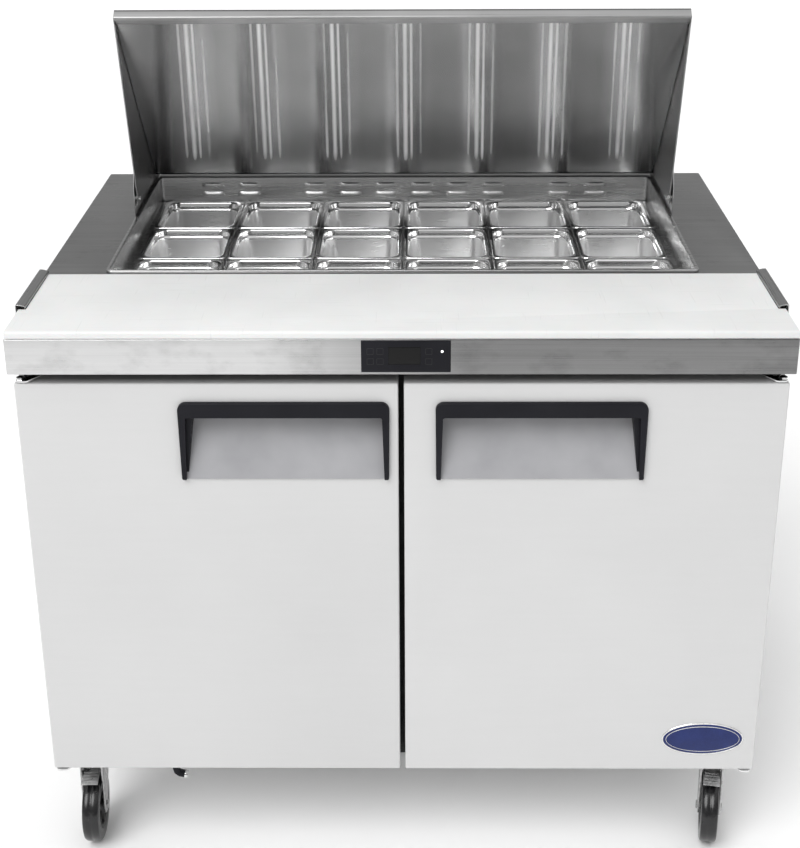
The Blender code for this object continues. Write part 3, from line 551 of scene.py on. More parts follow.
def lid_sheet(name, dark, light, roughness, top):
    """Lid's outer sheet: brushed, with a painted shade line along the very top of its lip and the right
    cheek painted brighter as painted light.
    """
    f = Finish(name, roughness, 1.0)
    lines = f.noise((2.5, 700, 700), 4.0, 0.7)
    smudge = f.noise((6, 6, 6), 4.0, 0.6)
    tone = f.math("ADD", f.spread(lines, dark, light), f.spread(smudge, -0.02, 0.02))
    # painted light: the right side panel is coloured brighter than the left
    cheek = f.spread(f.place("X"), 1.0, 1.9, 0.604, 0.608)
    # painted shade: a dark line along the top of the lip
    painted_crest_shade = f.spread(f.place("Z"), 1.0, 0.22, top - 0.0034, top - 0.0020)
    f.level(f.product(tone, cheek, painted_crest_shade))
    smear = f.spread(smudge, roughness - 0.03, roughness + 0.04)
    f.roughness(f.math("ADD", f.spread(lines, -0.04, 0.05), smear))
    f.bump((lines, 0.000004))
    return f.material


def polished_steel(name, dark, light, roughness, rim_level):
    """Drawn stainless: bright polished rim, satin walls below it, faint draw lines and handling marks."""
    f = Finish(name, roughness, 1.0)
    marks = f.noise((260, 260, 8), 3.0, 0.6)
    haze = f.noise((14, 14, 14), 4.0, 0.6)
    scratches = f.noise((30, 900, 900), 2.0, 0.6)
    f.colour(grey(dark), grey(light), haze, 0.35, 0.65)
    satin = f.math("ADD", f.spread(haze, -0.02, 0.03), f.spread(scratches, roughness, roughness + 0.05))
    polished = f.spread(f.place("Z"), 0.0, 1.0, rim_level - 0.0190, rim_level - 0.0140)
    f.roughness(f.mix(satin, 0.13, polished))
    f.bump((marks, 0.000003), (scratches, 0.000001))
    return f.material


def coated_sheet(name, dark, light, roughness):
    """Pale coated steel: fine orange peel, slow tone changes and faint wiping marks."""
    f = Finish(name, roughness, 0.0, Specular_IOR_Level=0.5, Coat_Weight=0.12, Coat_Roughness=0.3)
    peel = f.noise((650, 650, 650), 2.0)
    slow = f.noise((2.2, 2.2, 2.2), 3.0)
    wipe = f.noise((9, 60, 120), 4.0, 0.65)
    f.colour(dark, light, f.math("ADD", f.math("MULTIPLY", slow, 0.75), f.math("MULTIPLY", wipe, 0.25)))
    f.roughness(f.spread(wipe, roughness - 0.04, roughness + 0.06))
    f.bump((slow, 0.0002), (peel, 0.000012))
    return f.material


def board_plastic(name):
    """White polyethylene with a fine pebbled skin and faint knife marks in two directions."""
    f = Finish(name, 0.42, 0.0, Subsurface_Weight=0.08, Subsurface_Scale=0.003, Specular_IOR_Level=0.45)
    pebble = f.cells(900).outputs["Distance"]
    cloud = f.noise((5, 5, 5), 4.0, 0.6)
    cuts_a = f.noise((7, 380, 20), 2.0, 0.4)
    cuts_b = f.noise((300, 12, 20), 2.0, 0.4)
    nicks = f.math("MAXIMUM", f.spread(cuts_a, 0, 1, 0.66, 0.74), f.spread(cuts_b, 0, 1, 0.68, 0.76))
    tone = f.math("SUBTRACT", cloud, f.math("MULTIPLY", nicks, 0.35))
    f.colour((0.72, 0.725, 0.72), (0.785, 0.79, 0.785), tone, 0.2, 0.6)
    f.roughness(f.math("ADD", f.spread(cloud, 0.38, 0.48), f.math("MULTIPLY", nicks, 0.12)))
    f.bump((pebble, 0.00003), (f.math("SUBTRACT", 1.0, nicks), 0.00004))
    return f.material


def moulded_plastic(name, dark, light, roughness, texture=0.00003, **fixed):
    """Moulded plastic with a fine spark-eroded skin and slow gloss changes."""
    f = Finish(name, roughness, 0.0, **fixed)
    skin = f.noise((1400, 1400, 1400), 2.0)
    slow = f.noise((12, 12, 12), 3.0)
    f.colour(dark, light, slow)
    fine = f.spread(skin, roughness - 0.03, roughness + 0.03)
    f.roughness(f.math("ADD", f.spread(slow, -0.04, 0.05), fine))
    f.bump((skin, texture))
    return f.material


def rubber(name):
    """Black tyre rubber with a little dust."""
    f = Finish(name, 0.35, 0.0, Specular_IOR_Level=0.5)
    dust = f.noise((120, 120, 120), 4.0, 0.65)
    grain = f.noise((1100, 1100, 1100), 2.0)
    f.colour((0.008, 0.008, 0.009), (0.020, 0.020, 0.020), dust, 0.4, 0.8)
    f.roughness(f.spread(dust, 0.15, 0.27))
    f.bump((dust, 0.00002), (grain, 0.000006))
    return f.material


def plated_zinc(name, dark, light, roughness):
    """Bright zinc plate with a soft crystalline mottling."""
    f = Finish(name, roughness, 1.0)
    patch = f.channel(f.cells(160).outputs["Color"], "Red")
    haze = f.noise((60, 60, 60), 4.0)
    mixed = f.math("ADD", f.math("MULTIPLY", patch, 0.35), f.math("MULTIPLY", haze, 0.65))
    f.colour(dark, light, mixed)
    f.roughness(f.spread(haze, roughness - 0.06, roughness + 0.1))
    f.bump((haze, 0.00005))
    return f.material


def spangled_liner(name, front):
    """Embossed aluminium lining with small leather-like cells; its front face round the mouth is coloured
    near black as painted shade.
    """
    f = Finish(name, 0.38, 0.85)
    cell = f.cells(170, "DISTANCE_TO_EDGE").outputs["Distance"]
    haze = f.noise((20, 20, 20), 3.0)
    behind = f.spread(f.place("Y"), 0.0, 1.0, front + 0.0010, front + 0.0012)
    # painted shade: the front face round the mouth is darkened nearly to black
    f.level(f.math("MULTIPLY", f.spread(haze, 0.62, 0.76), f.spread(behind, 0.02, 1.0, 0.0, 1.0)))
    f.roughness(f.spread(haze, 0.34, 0.46))
    f.bump((f.spread(cell, 0, 1, 0.0, 0.12), 0.00025))
    return f.material


def insulating_foam(name):
    """Yellowish foam with open pores."""
    f = Finish(name, 0.9)
    pores = f.cells(420).outputs["Distance"]
    tone = f.noise((18, 18, 18), 4.0)
    f.colour((0.62, 0.54, 0.33), (0.80, 0.74, 0.55), tone)
    f.bump((pores, 0.0006))
    return f.material


def finned_metal(name, colour, pitch_per_metre):
    """Coil fins: thin upright lines across X, painted shade darkening the gaps between them, and dust."""
    f = Finish(name, 0.45, 0.9)
    wave = f.node("ShaderNodeTexWave", Scale=pitch_per_metre * math.pi / 10)
    wave.bands_direction = "X"
    f.link(f.coords.outputs["Object"], wave.inputs["Vector"])
    dust = f.noise((40, 40, 40), 4.0)
    # painted shade: the gaps between the fins are coloured down to about a third of the fin colour, with
    # dust varying it
    mixed = f.math("MULTIPLY", wave.outputs["Fac"], f.spread(dust, 0.6, 1.0))
    f.colour(tuple(c * 0.35 for c in colour), colour, mixed, 0.1, 0.9)
    f.bump((wave.outputs["Fac"], 0.0006))
    return f.material


def enamel(name):
    """Deep blue enamel under a clear coat, with a fine metallic flake."""
    f = Finish(name, 0.32, 0.0, Specular_IOR_Level=0.2, Coat_Weight=0.3, Coat_Roughness=0.06)
    flake = f.channel(f.cells(2600).outputs["Color"], "Green")
    tone = f.noise((30, 30, 30), 2.0)
    mixed = f.math("ADD", f.math("MULTIPLY", flake, 0.4), f.math("MULTIPLY", tone, 0.6))
    f.colour((0.006, 0.014, 0.085), (0.013, 0.028, 0.150), mixed)
    f.roughness(f.spread(tone, 0.28, 0.38))
    f.bump((tone, 0.00004))
    return f.material


def floor_paper(name):
    """Matt white paper for the floor."""
    f = Finish(name, 0.85, 0.0, Specular_IOR_Level=0.2)
    tone = f.noise((1.5, 1.5, 1.5), 3.0)
    fibre = f.noise((500, 500, 500), 2.0)
    f.colour(grey(0.95), grey(0.97), tone)
    f.bump((fibre, 0.00004))
    return f.material


def lamp_dot(name):
    """A lit white dot."""
    f = Finish(name, 0.3, Emission_Color=(1.0, 1.0, 1.0, 1.0), Emission_Strength=1.6)
    f.colour(grey(0.85), grey(0.95), f.noise((900, 900, 900), 1.0))
    return f.material


# painted light and shade on the worktop: dark top 0.34, apron 0.66 at the left to 0.23 at the right
TOP_STEEL = worktop_steel("top_steel", 0.34, 0.66, 0.23, 0.30)
TRIM_STEEL = brushed_steel("trim_steel", 0.38, 0.47, 0.30, "y")
WELL_STEEL = brushed_steel("well_steel", 0.46, 0.58, 0.26, "x")
HOOD_STEEL = brushed_steel("hood_steel", 0.42, 0.52, 0.28, "x")
LID_STEEL = lid_sheet("lid_steel", 0.27, 0.36, 0.30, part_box("lid_shell")[1].z)
BAR_STEEL = brushed_steel("bar_steel", 0.40, 0.50, 0.28, "y")
PAN_STEEL = polished_steel("pan_polish", 0.93, 0.99, 0.27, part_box("pan_row1_1")[1].z)
DOOR_COAT = coated_sheet("door_coat", grey(0.612), grey(0.652), 0.46)
SIDE_COAT = coated_sheet("side_coat", grey(0.66), grey(0.71), 0.46)
BOARD = board_plastic("board_plastic")
BLACK = moulded_plastic(
    "black_plastic", (0.007, 0.007, 0.010), (0.012, 0.012, 0.016), 0.40, Specular_IOR_Level=0.16
)
# painted shade: the plate takes the door's grey made darker, for its slope into the pocket
PLATE_SHADED_GREY = moulded_plastic("plate_grey", (0.33, 0.33, 0.345), (0.39, 0.39, 0.405), 0.42, 0.00002)
DOOR_LINING = moulded_plastic("door_lining", grey(0.62), grey(0.70), 0.42, 0.00002)
SEAL = moulded_plastic("seal_vinyl", grey(0.018), grey(0.035), 0.58, 0.00004)
WINDOW = moulded_plastic(
    "window_black", grey(0.003), grey(0.006), 0.12, 0.000002, Specular_IOR_Level=0.22
)
KEY_PRINT = moulded_plastic("key_print", grey(0.028), grey(0.042), 0.40, 0.00001, Specular_IOR_Level=0.2)
HUB_PLASTIC = moulded_plastic("hub_plastic", grey(0.02), grey(0.04), 0.42)
FAN_PLASTIC = moulded_plastic("fan_black", grey(0.02), grey(0.035), 0.45)
COMPRESSOR_PAINT = moulded_plastic("compressor_black", grey(0.015), grey(0.03), 0.35, 0.00008)
TYRE = rubber("tyre_rubber")
ZINC = plated_zinc("zinc_plate", grey(0.36), grey(0.54), 0.28)
CHROME = plated_zinc("bright_plate", grey(0.70), grey(0.85), 0.12)
SHELF_COAT = plated_zinc("shelf_plate", grey(0.55), grey(0.68), 0.32)
COPPER = plated_zinc("copper_tube", (0.55, 0.27, 0.16), (0.72, 0.38, 0.24), 0.28)
LINING = spangled_liner("cabinet_lining", low_of("cabinet_liner").y)
FOAM = insulating_foam("insulation")
FINS = finned_metal("coil_fin", (0.62, 0.64, 0.66), 420)
ENAMEL = enamel("badge_enamel")
LED = lamp_dot("status_dot")
LID_SLOPE = (0.0, 0.63, -0.777)
LINING_SPAN = [corner.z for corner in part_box("lid_liner")]
LINING_STEEL = drawn_lining("lining_steel", 0.31, 0.37, 0.20, LID_SLOPE, *LINING_SPAN)
FLOOR = floor_paper("floor_paper")


# ---- worktop ------------------------------------------------------------------------------------------
WELL_OVERLAP = 0.0052


def make_worktop():
    """Folded top with its apron, stepped for the board, opened for the well and the controller."""
    low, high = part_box("countertop")
    board_low, board_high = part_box("cutting_board")
    well_low, well_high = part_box("well_liner")
    module_low, module_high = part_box("control_module")
    ledge = board_low.z - GAP
    step = board_high.y + 0.001
    outline = [(low.y, low.z), (high.y, low.z), (high.y, high.z)]
    outline += [(step, high.z), (step, ledge), (low.y, ledge)]
    top = prism("worktop", outline, "x", low.x, high.x, 0.0024, 3)
    inner = [
        (low.y + SHEET, low.z - PAST),
        (high.y - SHEET, low.z - PAST),
        (high.y - SHEET, high.z - SHEET),
        (step + SHEET, high.z - SHEET),
        (step + SHEET, ledge - SHEET),
        (low.y + SHEET, ledge - SHEET),
    ]
    opening = slab(
        "opening",
        (well_low.x + WELL_OVERLAP, well_low.y + WELL_OVERLAP, 0.9),
        (well_high.x - WELL_OVERLAP, well_high.y - WELL_OVERLAP, 1.1),
    )
    slot_low, slot_high = grown(module_low, module_high, GAP)
    slot = slab(
        "slot", (slot_low[0], low.y - PAST, slot_low[2]), (slot_high[0], low.y + PAST, slot_high[2])
    )
    cut(top, prism("inside", inner, "x", low.x + SHEET, high.x - SHEET), opening, slot)
    put(top, "cabinet", TOP_STEEL, ["countertop"])
    inside, lowest = low.y + SHEET, low.z + 0.0008
    hem_path = [(inside, low.z + 0.006), (inside, lowest), (low.y + 0.014, lowest)]
    hem_outline = strip(hem_path, -SHEET, 0.0016)
    hem = prism("apron_hem", hem_outline, "x", low.x + 0.003, high.x - 0.003)
    put(hem, "cabinet", TOP_STEEL)


def make_board():
    """Polyethylene board with a softly rounded front edge, notched at both ends beside the guards."""
    low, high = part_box("cutting_board")
    guard_low = low_of("board_guard_right")
    profile = filleted(
        [(low.y, low.z), (high.y, low.z), (high.y, high.z), (low.y, high.z)],
        [0.003, 0.002, 0.002, 0.0048],
        5,
    )

    def at_end(edge):
        return all(abs(abs(v.co.x) - high.x) < 1e-5 for v in edge.verts)

    board = prism("board", profile, "x", low.x, high.x, 0.0016, 2, at_end)
    for side in (-1, 1):
        near, far = sorted((side * (guard_low.x - 0.0008), side * (high.x + PAST)))
        notch_low = (near, guard_low.y - 0.0015, low.z - PAST)
        cut(board, slab("notch", notch_low, (far, high.y + PAST, high.z + PAST)))
    put(board, "cutting_board", BOARD, ["cutting_board"])


GUARD_SHEET = 0.0016
GUARD_FALL = 0.0024
GUARD_SCREWS = (0.035, 0.131)


def make_guards():
    """Folded end guards: a leg on the worktop's side, a cap over the board's notch and a short lip."""
    board_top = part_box("cutting_board")[1].z
    for word, side in (("left", -1), ("right", 1)):
        node = "board_guard_" + word
        low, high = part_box(node)
        outer = max(abs(low.x), abs(high.x))
        inner = min(abs(low.x), abs(high.x))
        path = [
            (side * outer, low.z),
            (side * outer, high.z),
            (side * (outer - 0.0055), high.z),
            (side * inner, high.z - GUARD_FALL),
            (side * inner, board_top + 0.0006),
        ]
        outline = strip(path, -GUARD_SHEET * side, 0.0022)
        guard = prism("guard_" + word, outline, "y", low.y, high.y, 0.0003, 1)
        heads = [
            screw("head", (side * (outer - 0.0011), y, low.z + 0.010), (side, 0, 0), 0.0042, 0.0011)
            for y in (low.y + at for at in GUARD_SCREWS)
        ]
        put(guard, "cabinet", TRIM_STEEL, [node])
        put(merge("guard_screws_" + word, *heads), "cabinet", CHROME)


LOUVRE_COLUMNS = (0.037, 0.110, 0.183, 0.318, 0.393)
LOUVRE_ROWS = (0.014, 0.033)


def make_louvre(place, half_width, rise, height):
    """A pressed hood on the well's back wall: a swollen top that opens downwards."""
    rows = []
    steps = 10
    for i in range(steps + 1):
        x = -1 + 2 * i / steps
        swell = math.sqrt(max(0.0, 1 - x ** 4))
        row = []
        for j in range(6):
            t = j / 5
            out = rise * swell * math.sin(t * math.pi * 0.5)
            row.append((place[0] + x * half_width, place[1] - out, place[2] + height * (0.5 - t)))
        row.append((place[0] + x * half_width, place[1] + 0.0006, place[2] - height * 0.5 - 0.0004))
        rows.append(row)
    return loft("louvre", rows, around=False)


WELL_SHEET = 0.0008


def make_well():
    """Pan well: a raised rim with round corners, walls, a ledge all round and louvres at the back."""
    low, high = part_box("well_liner")
    centre = middle(low, high)[:2]
    half_x, half_y = (high.x - low.x) / 2, (high.y - low.y) / 2
    bar_low, bar_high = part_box("adapter_bar_1")
    pan_rim, ledge = bar_high.z, bar_low.z - GAP
    top = high.z
    section = [
        (0.0000, top - 0.0038, 0.012),
        (0.0000, top - 0.0014, 0.012),
        (0.0006, top - 0.0004, 0.012),
        (0.0018, top, 0.011),
        (0.0046, top, 0.0095),
        (0.0060, top - 0.0006, 0.0085),
        (0.0065, top - 0.0020, 0.008),
        (0.0066, pan_rim + 0.0030, 0.008),
        (0.0075, ledge + 0.0015, 0.008),
        (0.0095, ledge, 0.007),
        (0.0215, ledge, 0.006),
        (0.0225, ledge - 0.0010, 0.006),
        (0.0228, low.z, 0.006),
    ]
    rings = [
        rounded_ring(half_x - inset, half_y - inset, radius, z, centre) for inset, z, radius in section
    ]
    well = loft("well", rings)
    thicken(well, WELL_SHEET, 1.0)
    put(well, "cabinet", WELL_STEEL, ["well_liner"])
    for word, side in (("left", -1), ("right", 1)):
        edge = side * (half_x - 0.0075)
        fold, level = edge - side * 0.0125, pan_rim - 0.0008
        path = [(edge, pan_rim + 0.008), (edge, level), (fold, level), (fold, ledge + 0.0004)]
        outline = strip(path, -0.0009 * side, 0.0016)
        rail = prism("well_rail_" + word, outline, "y", low.y + 0.012, high.y - 0.012)
        put(rail, "cabinet", WELL_STEEL)
    wall = high.y - 0.0068
    made = []
    for row in LOUVRE_ROWS:
        for place in LOUVRE_COLUMNS:
            for side in (-1, 1):
                made.append(make_louvre((side * place, wall, top - row), 0.024, 0.0042, 0.009))
    put(merge("well_louvres", *made), "cabinet", WELL_STEEL)
    for index in range(1, 6):
        repaint("adapter_bar_%d" % index, BAR_STEEL)


PAN_SHEET = 0.0007


def make_pans():
    """Sixth-size pans: turned-down rim, rounded lip, stacking shoulder, drafted walls, dished floor."""
    for row in range(1, 4):
        for column in range(1, 7):
            node = "pan_row%d_%d" % (row, column)
            low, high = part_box(node)
            centre = ((low + high) / 2)[:2]
            half_x, half_y = (high.x - low.x) / 2, (high.y - low.y) / 2
            top, floor = high.z, low.z
            section = [
                (0.0002, top - 0.0030, 0.0120),
                (0.0002, top - 0.0014, 0.0120),
                (0.0010, top - 0.0002, 0.0120),
                (0.0024, top, 0.0130),
                (0.0052, top, 0.0160),
                (0.0070, top - 0.0006, 0.0200),
                (0.0082, top - 0.0024, 0.0240),
                (0.0086, top - 0.0110, 0.0255),
                (0.0092, top - 0.0134, 0.0250),
                (0.0106, top - 0.0148, 0.0240),
                (0.0112, top - 0.0180, 0.0236),
                (0.0170, floor + 0.0160, 0.0210),
                (0.0184, floor + 0.0080, 0.0200),
                (0.0222, floor + 0.0026, 0.0170),
                (0.0290, floor + 0.0009, 0.0130),
                (0.0400, floor + 0.0012, 0.0080),
            ]
            rings = [
                rounded_ring(half_x - inset, half_y - inset, radius, z, centre, 7)
                for inset, z, radius in section
            ]
            pan = loft(node + "_drawn", rings, cap_last=True)
            thicken(pan, PAN_SHEET, 1.0)
            put(pan, node, PAN_STEEL, [node])


# ---- lid and rear hood --------------------------------------------------------------------------------
LID_THICK = 0.020
LID_BOSS = 0.014
LID_RUN = 0.3043
LID_FALL = 0.3754
LID_LENGTH = 0.4832


def lid_frame():
    """Lip of the lid's inner plane, and unit vectors down its slope and out of it, in (Y, Z)."""
    low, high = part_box("lid_shell")
    tilt = math.atan2(LID_FALL, LID_RUN)
    along = Vector((math.cos(tilt), -math.sin(tilt)))
    outward = Vector((math.sin(tilt), math.cos(tilt)))
    lip = Vector((low.y, high.z)) - Vector((0.0, outward.y * LID_THICK))
    return lip, along, outward


def lid_pivot():
    """The lid's axis, in (Y, Z)."""
    return Vector(joint("lid_tilt")["pos_m"][1:3])


def lid_point(s, n):
    """A point in (Y, Z) at a distance down the lid's slope and one out of it."""
    lip, along, outward = lid_frame()
    point = lip + along * s + outward * n
    return (point.x, point.y)


PIN_HOLE = 0.0043


def make_lid():
    """Folded outer sheet with its lip and tail, two side panels with rolled hems, and the lining."""
    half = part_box("lid_shell")[1].x
    pivot = lid_pivot()
    length = LID_LENGTH
    skin_path = [(0.016, 0.0), (0.0, 0.0), (0.0, LID_THICK), (length, LID_THICK), (length, 0.0035)]
    outline = strip(skin_path, SHEET, 0.0030, 5)
    skin = prism("lid_skin", [lid_point(s, n) for s, n in outline], "x", -half + 0.0004, half - 0.0004)
    boss = arc(tuple(pivot), LID_BOSS, -75, -195, 12)
    side_start, side_end, side_top = 0.0008, length - 0.0008, LID_THICK - 0.001
    corners = ((side_start, 0.0008), (side_start, side_top), (side_end, side_top), (side_end, 0.0))
    side_outline = [lid_point(*corner) for corner in corners] + boss
    pieces = [skin]
    for side in (-1, 1):
        near, far = sorted((side * half, side * (half - SHEET)))
        panel = prism("side", side_outline, "x", near, far, 0.0003, 1)
        place = (side * half, pivot.x, pivot.y)
        cut(panel, lathe("hole", [(PIN_HOLE, -PAST), (PIN_HOLE, PAST)], 24, place, (1, 0, 0)))
        pieces.append(panel)
        free_a = Vector(lid_point(0.0, 0.0))
        free_b = Vector(boss[-1])
        ahead = (free_b - free_a).normalized()
        inward = Vector((-ahead.y, ahead.x))
        if inward.dot(Vector(lid_point(length, 0.0)) - free_a) < 0:
            inward = -inward
        near, far = sorted((side * (half - SHEET), side * (half - 2 * SHEET)))
        hem = [free_a + ahead * 0.012 + inward * 0.0004, free_b + inward * 0.0004]
        hem += [free_b + inward * 0.0085 - ahead * 0.004, free_a + ahead * 0.020 + inward * 0.0085]
        pieces.append(prism("hem", [tuple(p) for p in hem], "x", near, far, 0.0004, 2))
    put(merge("lid_outer", *pieces), "lid", LID_STEEL, ["lid_shell"])
    make_lid_lining(half, length)


LID_CREASE_DEPTH = 0.0005


def make_lid_lining(half, length):
    """Inner sheet of the lid: very shallow creases under its painted reflection lines, and a bend near the
    tail.
    """
    inner = half - 2 * SHEET
    rows = []
    across, down = 168, 24
    bend = length - 0.052
    for j in range(down + 1):
        s = 0.003 + (length - 0.008) * j / down
        row = []
        for i in range(across + 1):
            x = -inner + 2 * inner * i / across
            across_lines = (x - LINE_SHIFT) / (1 + LINE_FAN * s / length)
            fade = ramp(bend - s, 0.0, 0.03) * ramp(LINE_REACH - abs(across_lines), 0.0, 0.02)
            phase = across_lines / LINE_PITCH * 2 * math.pi
            bow = 0.0011 + LID_CREASE_DEPTH * fade * (0.5 + 0.5 * math.cos(phase)) ** 3
            tail = 0.0022 * max(0.0, (s - bend) / 0.05)
            y, z = lid_point(s, bow + tail)
            row.append((x, y, z))
        rows.append(row)
    lining = loft("lid_lining", rows, around=False)
    put(lining, "lid", LINING_STEEL, ["lid_liner"])


def make_hood():
    """Fixed rear cover with rounded folds, open at the front, and the lid's pins with their screws."""
    low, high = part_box("rear_hood")
    pivot = lid_pivot()
    front_top = pivot.x + 0.048
    outline = [(low.y, low.z), (high.y, low.z), (high.y, high.z)]
    outline += [(front_top, high.z), (low.y, pivot.y + 0.022)]
    hood = prism("hood", outline, "x", low.x, high.x, 0.0026, 3)
    ahead, behind = low.y - 0.05, high.y - SHEET
    below, above = low.z - PAST, high.z - SHEET
    inside = [(ahead, below), (behind, below), (behind, above), (ahead, above)]
    cut(hood, prism("inside", inside, "x", low.x + SHEET, high.x - SHEET))
    put(hood, "cabinet", HOOD_STEEL, ["rear_hood"])
    pins = []
    for side in (-1, 1):
        face = side * (high.x - SHEET)
        profile = [(0.001, 0.0), (0.0040, 0.0), (0.0040, 0.0075), (0.0034, 0.0083), (0.001, 0.0083)]
        pins.append(lathe("pin", profile, 24, (face, pivot.x, pivot.y), (-side, 0, 0)))
        outer = (side * (high.x - 0.0010), pivot.x, pivot.y)
        pins.append(screw("head", outer, (side, 0, 0), 0.0062, 0.0026))
        for y in (low.y + 0.11, high.y - 0.03):
            place = (side * (high.x - 0.0002), y, low.z + 0.014)
            pins.append(screw("head", place, (side, 0, 0), 0.0042, 0.0020))
    put(merge("hood_pins", *pins), "cabinet", CHROME)


# ---- doors --------------------------------------------------------------------------------------------
BADGE_HALF = (0.0700, 0.0325)
BADGE_FROM_EDGE = 0.0915
BADGE_HEIGHT = 0.0650


def make_badge():
    """A plain oval plate: bright rim, domed enamel and a raised inner line, with no lettering."""
    low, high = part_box("door_skin_right")
    centre = (high.x - BADGE_FROM_EDGE, low.y, low.z + BADGE_HEIGHT)

    def ovals(steps):
        rings = []
        for scale, lift in steps:
            ring = []
            for s in range(72):
                a = 2 * math.pi * s / 72
                x = centre[0] + (BADGE_HALF[0] - scale) * math.cos(a)
                z = centre[2] + (BADGE_HALF[1] - scale) * math.sin(a)
                ring.append((x, centre[1] - lift, z))
            rings.append(ring)
        return rings

    rim = [(0.0, 0.0), (0.0, 0.0012), (0.0005, 0.0018), (0.0014, 0.0020)]
    rim += [(0.0022, 0.0018), (0.0026, 0.0010)]
    put(loft("badge_rim", ovals(rim)), "door_right", CHROME)
    dome = [(0.0026, 0.0010)]
    for t in (0.05, 0.15, 0.3, 0.5, 0.75, 1.0):
        dome.append((0.0026 + 0.0290 * t, 0.0012 + 0.0018 * math.sin(t * math.pi / 2)))
    face = loft("badge_face", ovals(dome), cap_last=True)
    put(face, "door_right", ENAMEL)
    line = [(0.0065, 0.0014), (0.0068, 0.0021), (0.0075, 0.0022), (0.0078, 0.0016)]
    put(loft("badge_line", ovals(line)), "door_right", CHROME)


HANDLE_CHEEK_TOP = 0.0120
HANDLE_CHEEK_LOW = 0.0085
HANDLE_BAR = 0.025
HANDLE_SLANT = 0.0155


def make_handle(word, face):
    """Black frame with round upper corners and tapering cheeks; a grey plate, coloured darker than the door
    as painted shade, slopes in behind.
    """
    low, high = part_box("door_handle_" + word)
    body = "door_" + word
    left, right, bottom, top = low.x, high.x, low.z, high.z
    proud, deep = low.y, high.y
    outer = [(left + 0.0015, bottom), (left, top), (right, top), (right - 0.0015, bottom)]
    outline = filleted(outer, [0.003, 0.013, 0.013, 0.003], 6)

    def at_front(edge):
        return all(v.co.y < proud + 1e-5 for v in edge.verts)

    bezel = prism("bezel", outline, "y", proud, face + 0.0010, 0.0020, 3, at_front)
    opening = [
        (right - HANDLE_CHEEK_LOW, bottom - PAST),
        (right - HANDLE_CHEEK_TOP, top - HANDLE_BAR),
        (left + HANDLE_CHEEK_TOP, top - HANDLE_BAR),
        (left + HANDLE_CHEEK_LOW, bottom - PAST),
    ]
    opening = filleted(opening, [0, 0.003, 0.003, 0], 5)
    cut(bezel, prism("opening", opening, "y", proud - PAST, face + PAST))
    inner_left, inner_right = left + HANDLE_CHEEK_LOW, right - HANDLE_CHEEK_LOW
    plate_top = top - 0.005
    parts = [bezel]
    for edge, side in ((inner_left, -1), (inner_right, 1)):
        near, far = sorted((edge + side * 0.001, edge - side * 0.0006))
        cheek = [(face - 0.002, bottom + 0.004), (deep - 0.001, plate_top), (deep - 0.001, top - 0.0015)]
        cheek += [(face - 0.002, top - 0.0015)]
        parts.append(prism("cheek", cheek, "x", near, far))
    lintel = [(face - 0.001, top - 0.0015), (deep - 0.0006, top - 0.0015), (deep - 0.0006, top - 0.0045)]
    lintel += [(face + 0.006, top - 0.0045), (face + 0.004, top - HANDLE_BAR + 0.002)]
    lintel += [(face - 0.001, top - HANDLE_BAR)]
    lintel = filleted(lintel, [0, 0, 0, 0.003, 0.002, 0], 4)
    parts.append(prism("lintel", lintel, "x", inner_left, inner_right))
    edge, inward = (inner_left, 1) if word == "left" else (inner_right, -1)
    foot, head = bottom + 0.004, top - 0.004
    wedge = [(edge, foot), (edge, head)]
    wedge += [(edge + inward * HANDLE_SLANT, head), (edge + inward * 0.0030, foot)]
    parts.append(prism("wedge", wedge, "y", face + 0.0012, deep - 0.0014))
    put(merge("handle_frame_" + word, *parts), body, BLACK, ["door_handle_" + word])
    foot = Vector((proud + 0.0052, bottom + 0.0006))
    head = Vector((deep - 0.0012, plate_top))
    bow = (head - foot).normalized()
    out = Vector((-bow.y, bow.x))
    steps = 12
    path = []
    for i in range(steps + 1):
        t = i / steps
        point = foot + (head - foot) * t + out * (-0.0012 * math.sin(math.pi * t))
        path.append((point.x, point.y))
    ends = (inner_left + 0.0004, inner_right - 0.0004)
    plate = prism("handle_plate_" + word, strip(path, 0.0022, 0.0), "x", *ends, 0.0004, 1)
    put(plate, body, PLATE_SHADED_GREY)


def make_gasket(word):
    """Magnetic seal: a hollow ribbed loop with mitred corners."""
    low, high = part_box("door_gasket_" + word)
    centre = middle(low, high)[::2]
    half_x, half_z = (high.x - low.x) / 2, (high.z - low.z) / 2
    depth = high.y - low.y
    section = [(0.0, 0.0), (0.018, 0.0), (0.018, 0.25), (0.0150, 0.35), (0.0150, 0.55), (0.0172, 0.65)]
    section += [(0.0165, 1.0), (0.0015, 1.0), (0.0008, 0.65), (0.0030, 0.55), (0.0030, 0.35), (0.0, 0.25)]
    rings = []
    for inset, share in section:
        ring = rounded_ring(half_x - inset, half_z - inset, max(0.001, 0.006 - inset * 0.2), 0, centre, 2)
        rings.append([(x, low.y + depth * share, z) for x, z, _ in ring])
    seal = loft("seal_" + word, rings, wrap=True)
    put(seal, "door_" + word, SEAL, ["door_gasket_" + word])


LINING_FROM_FRONT = 0.034


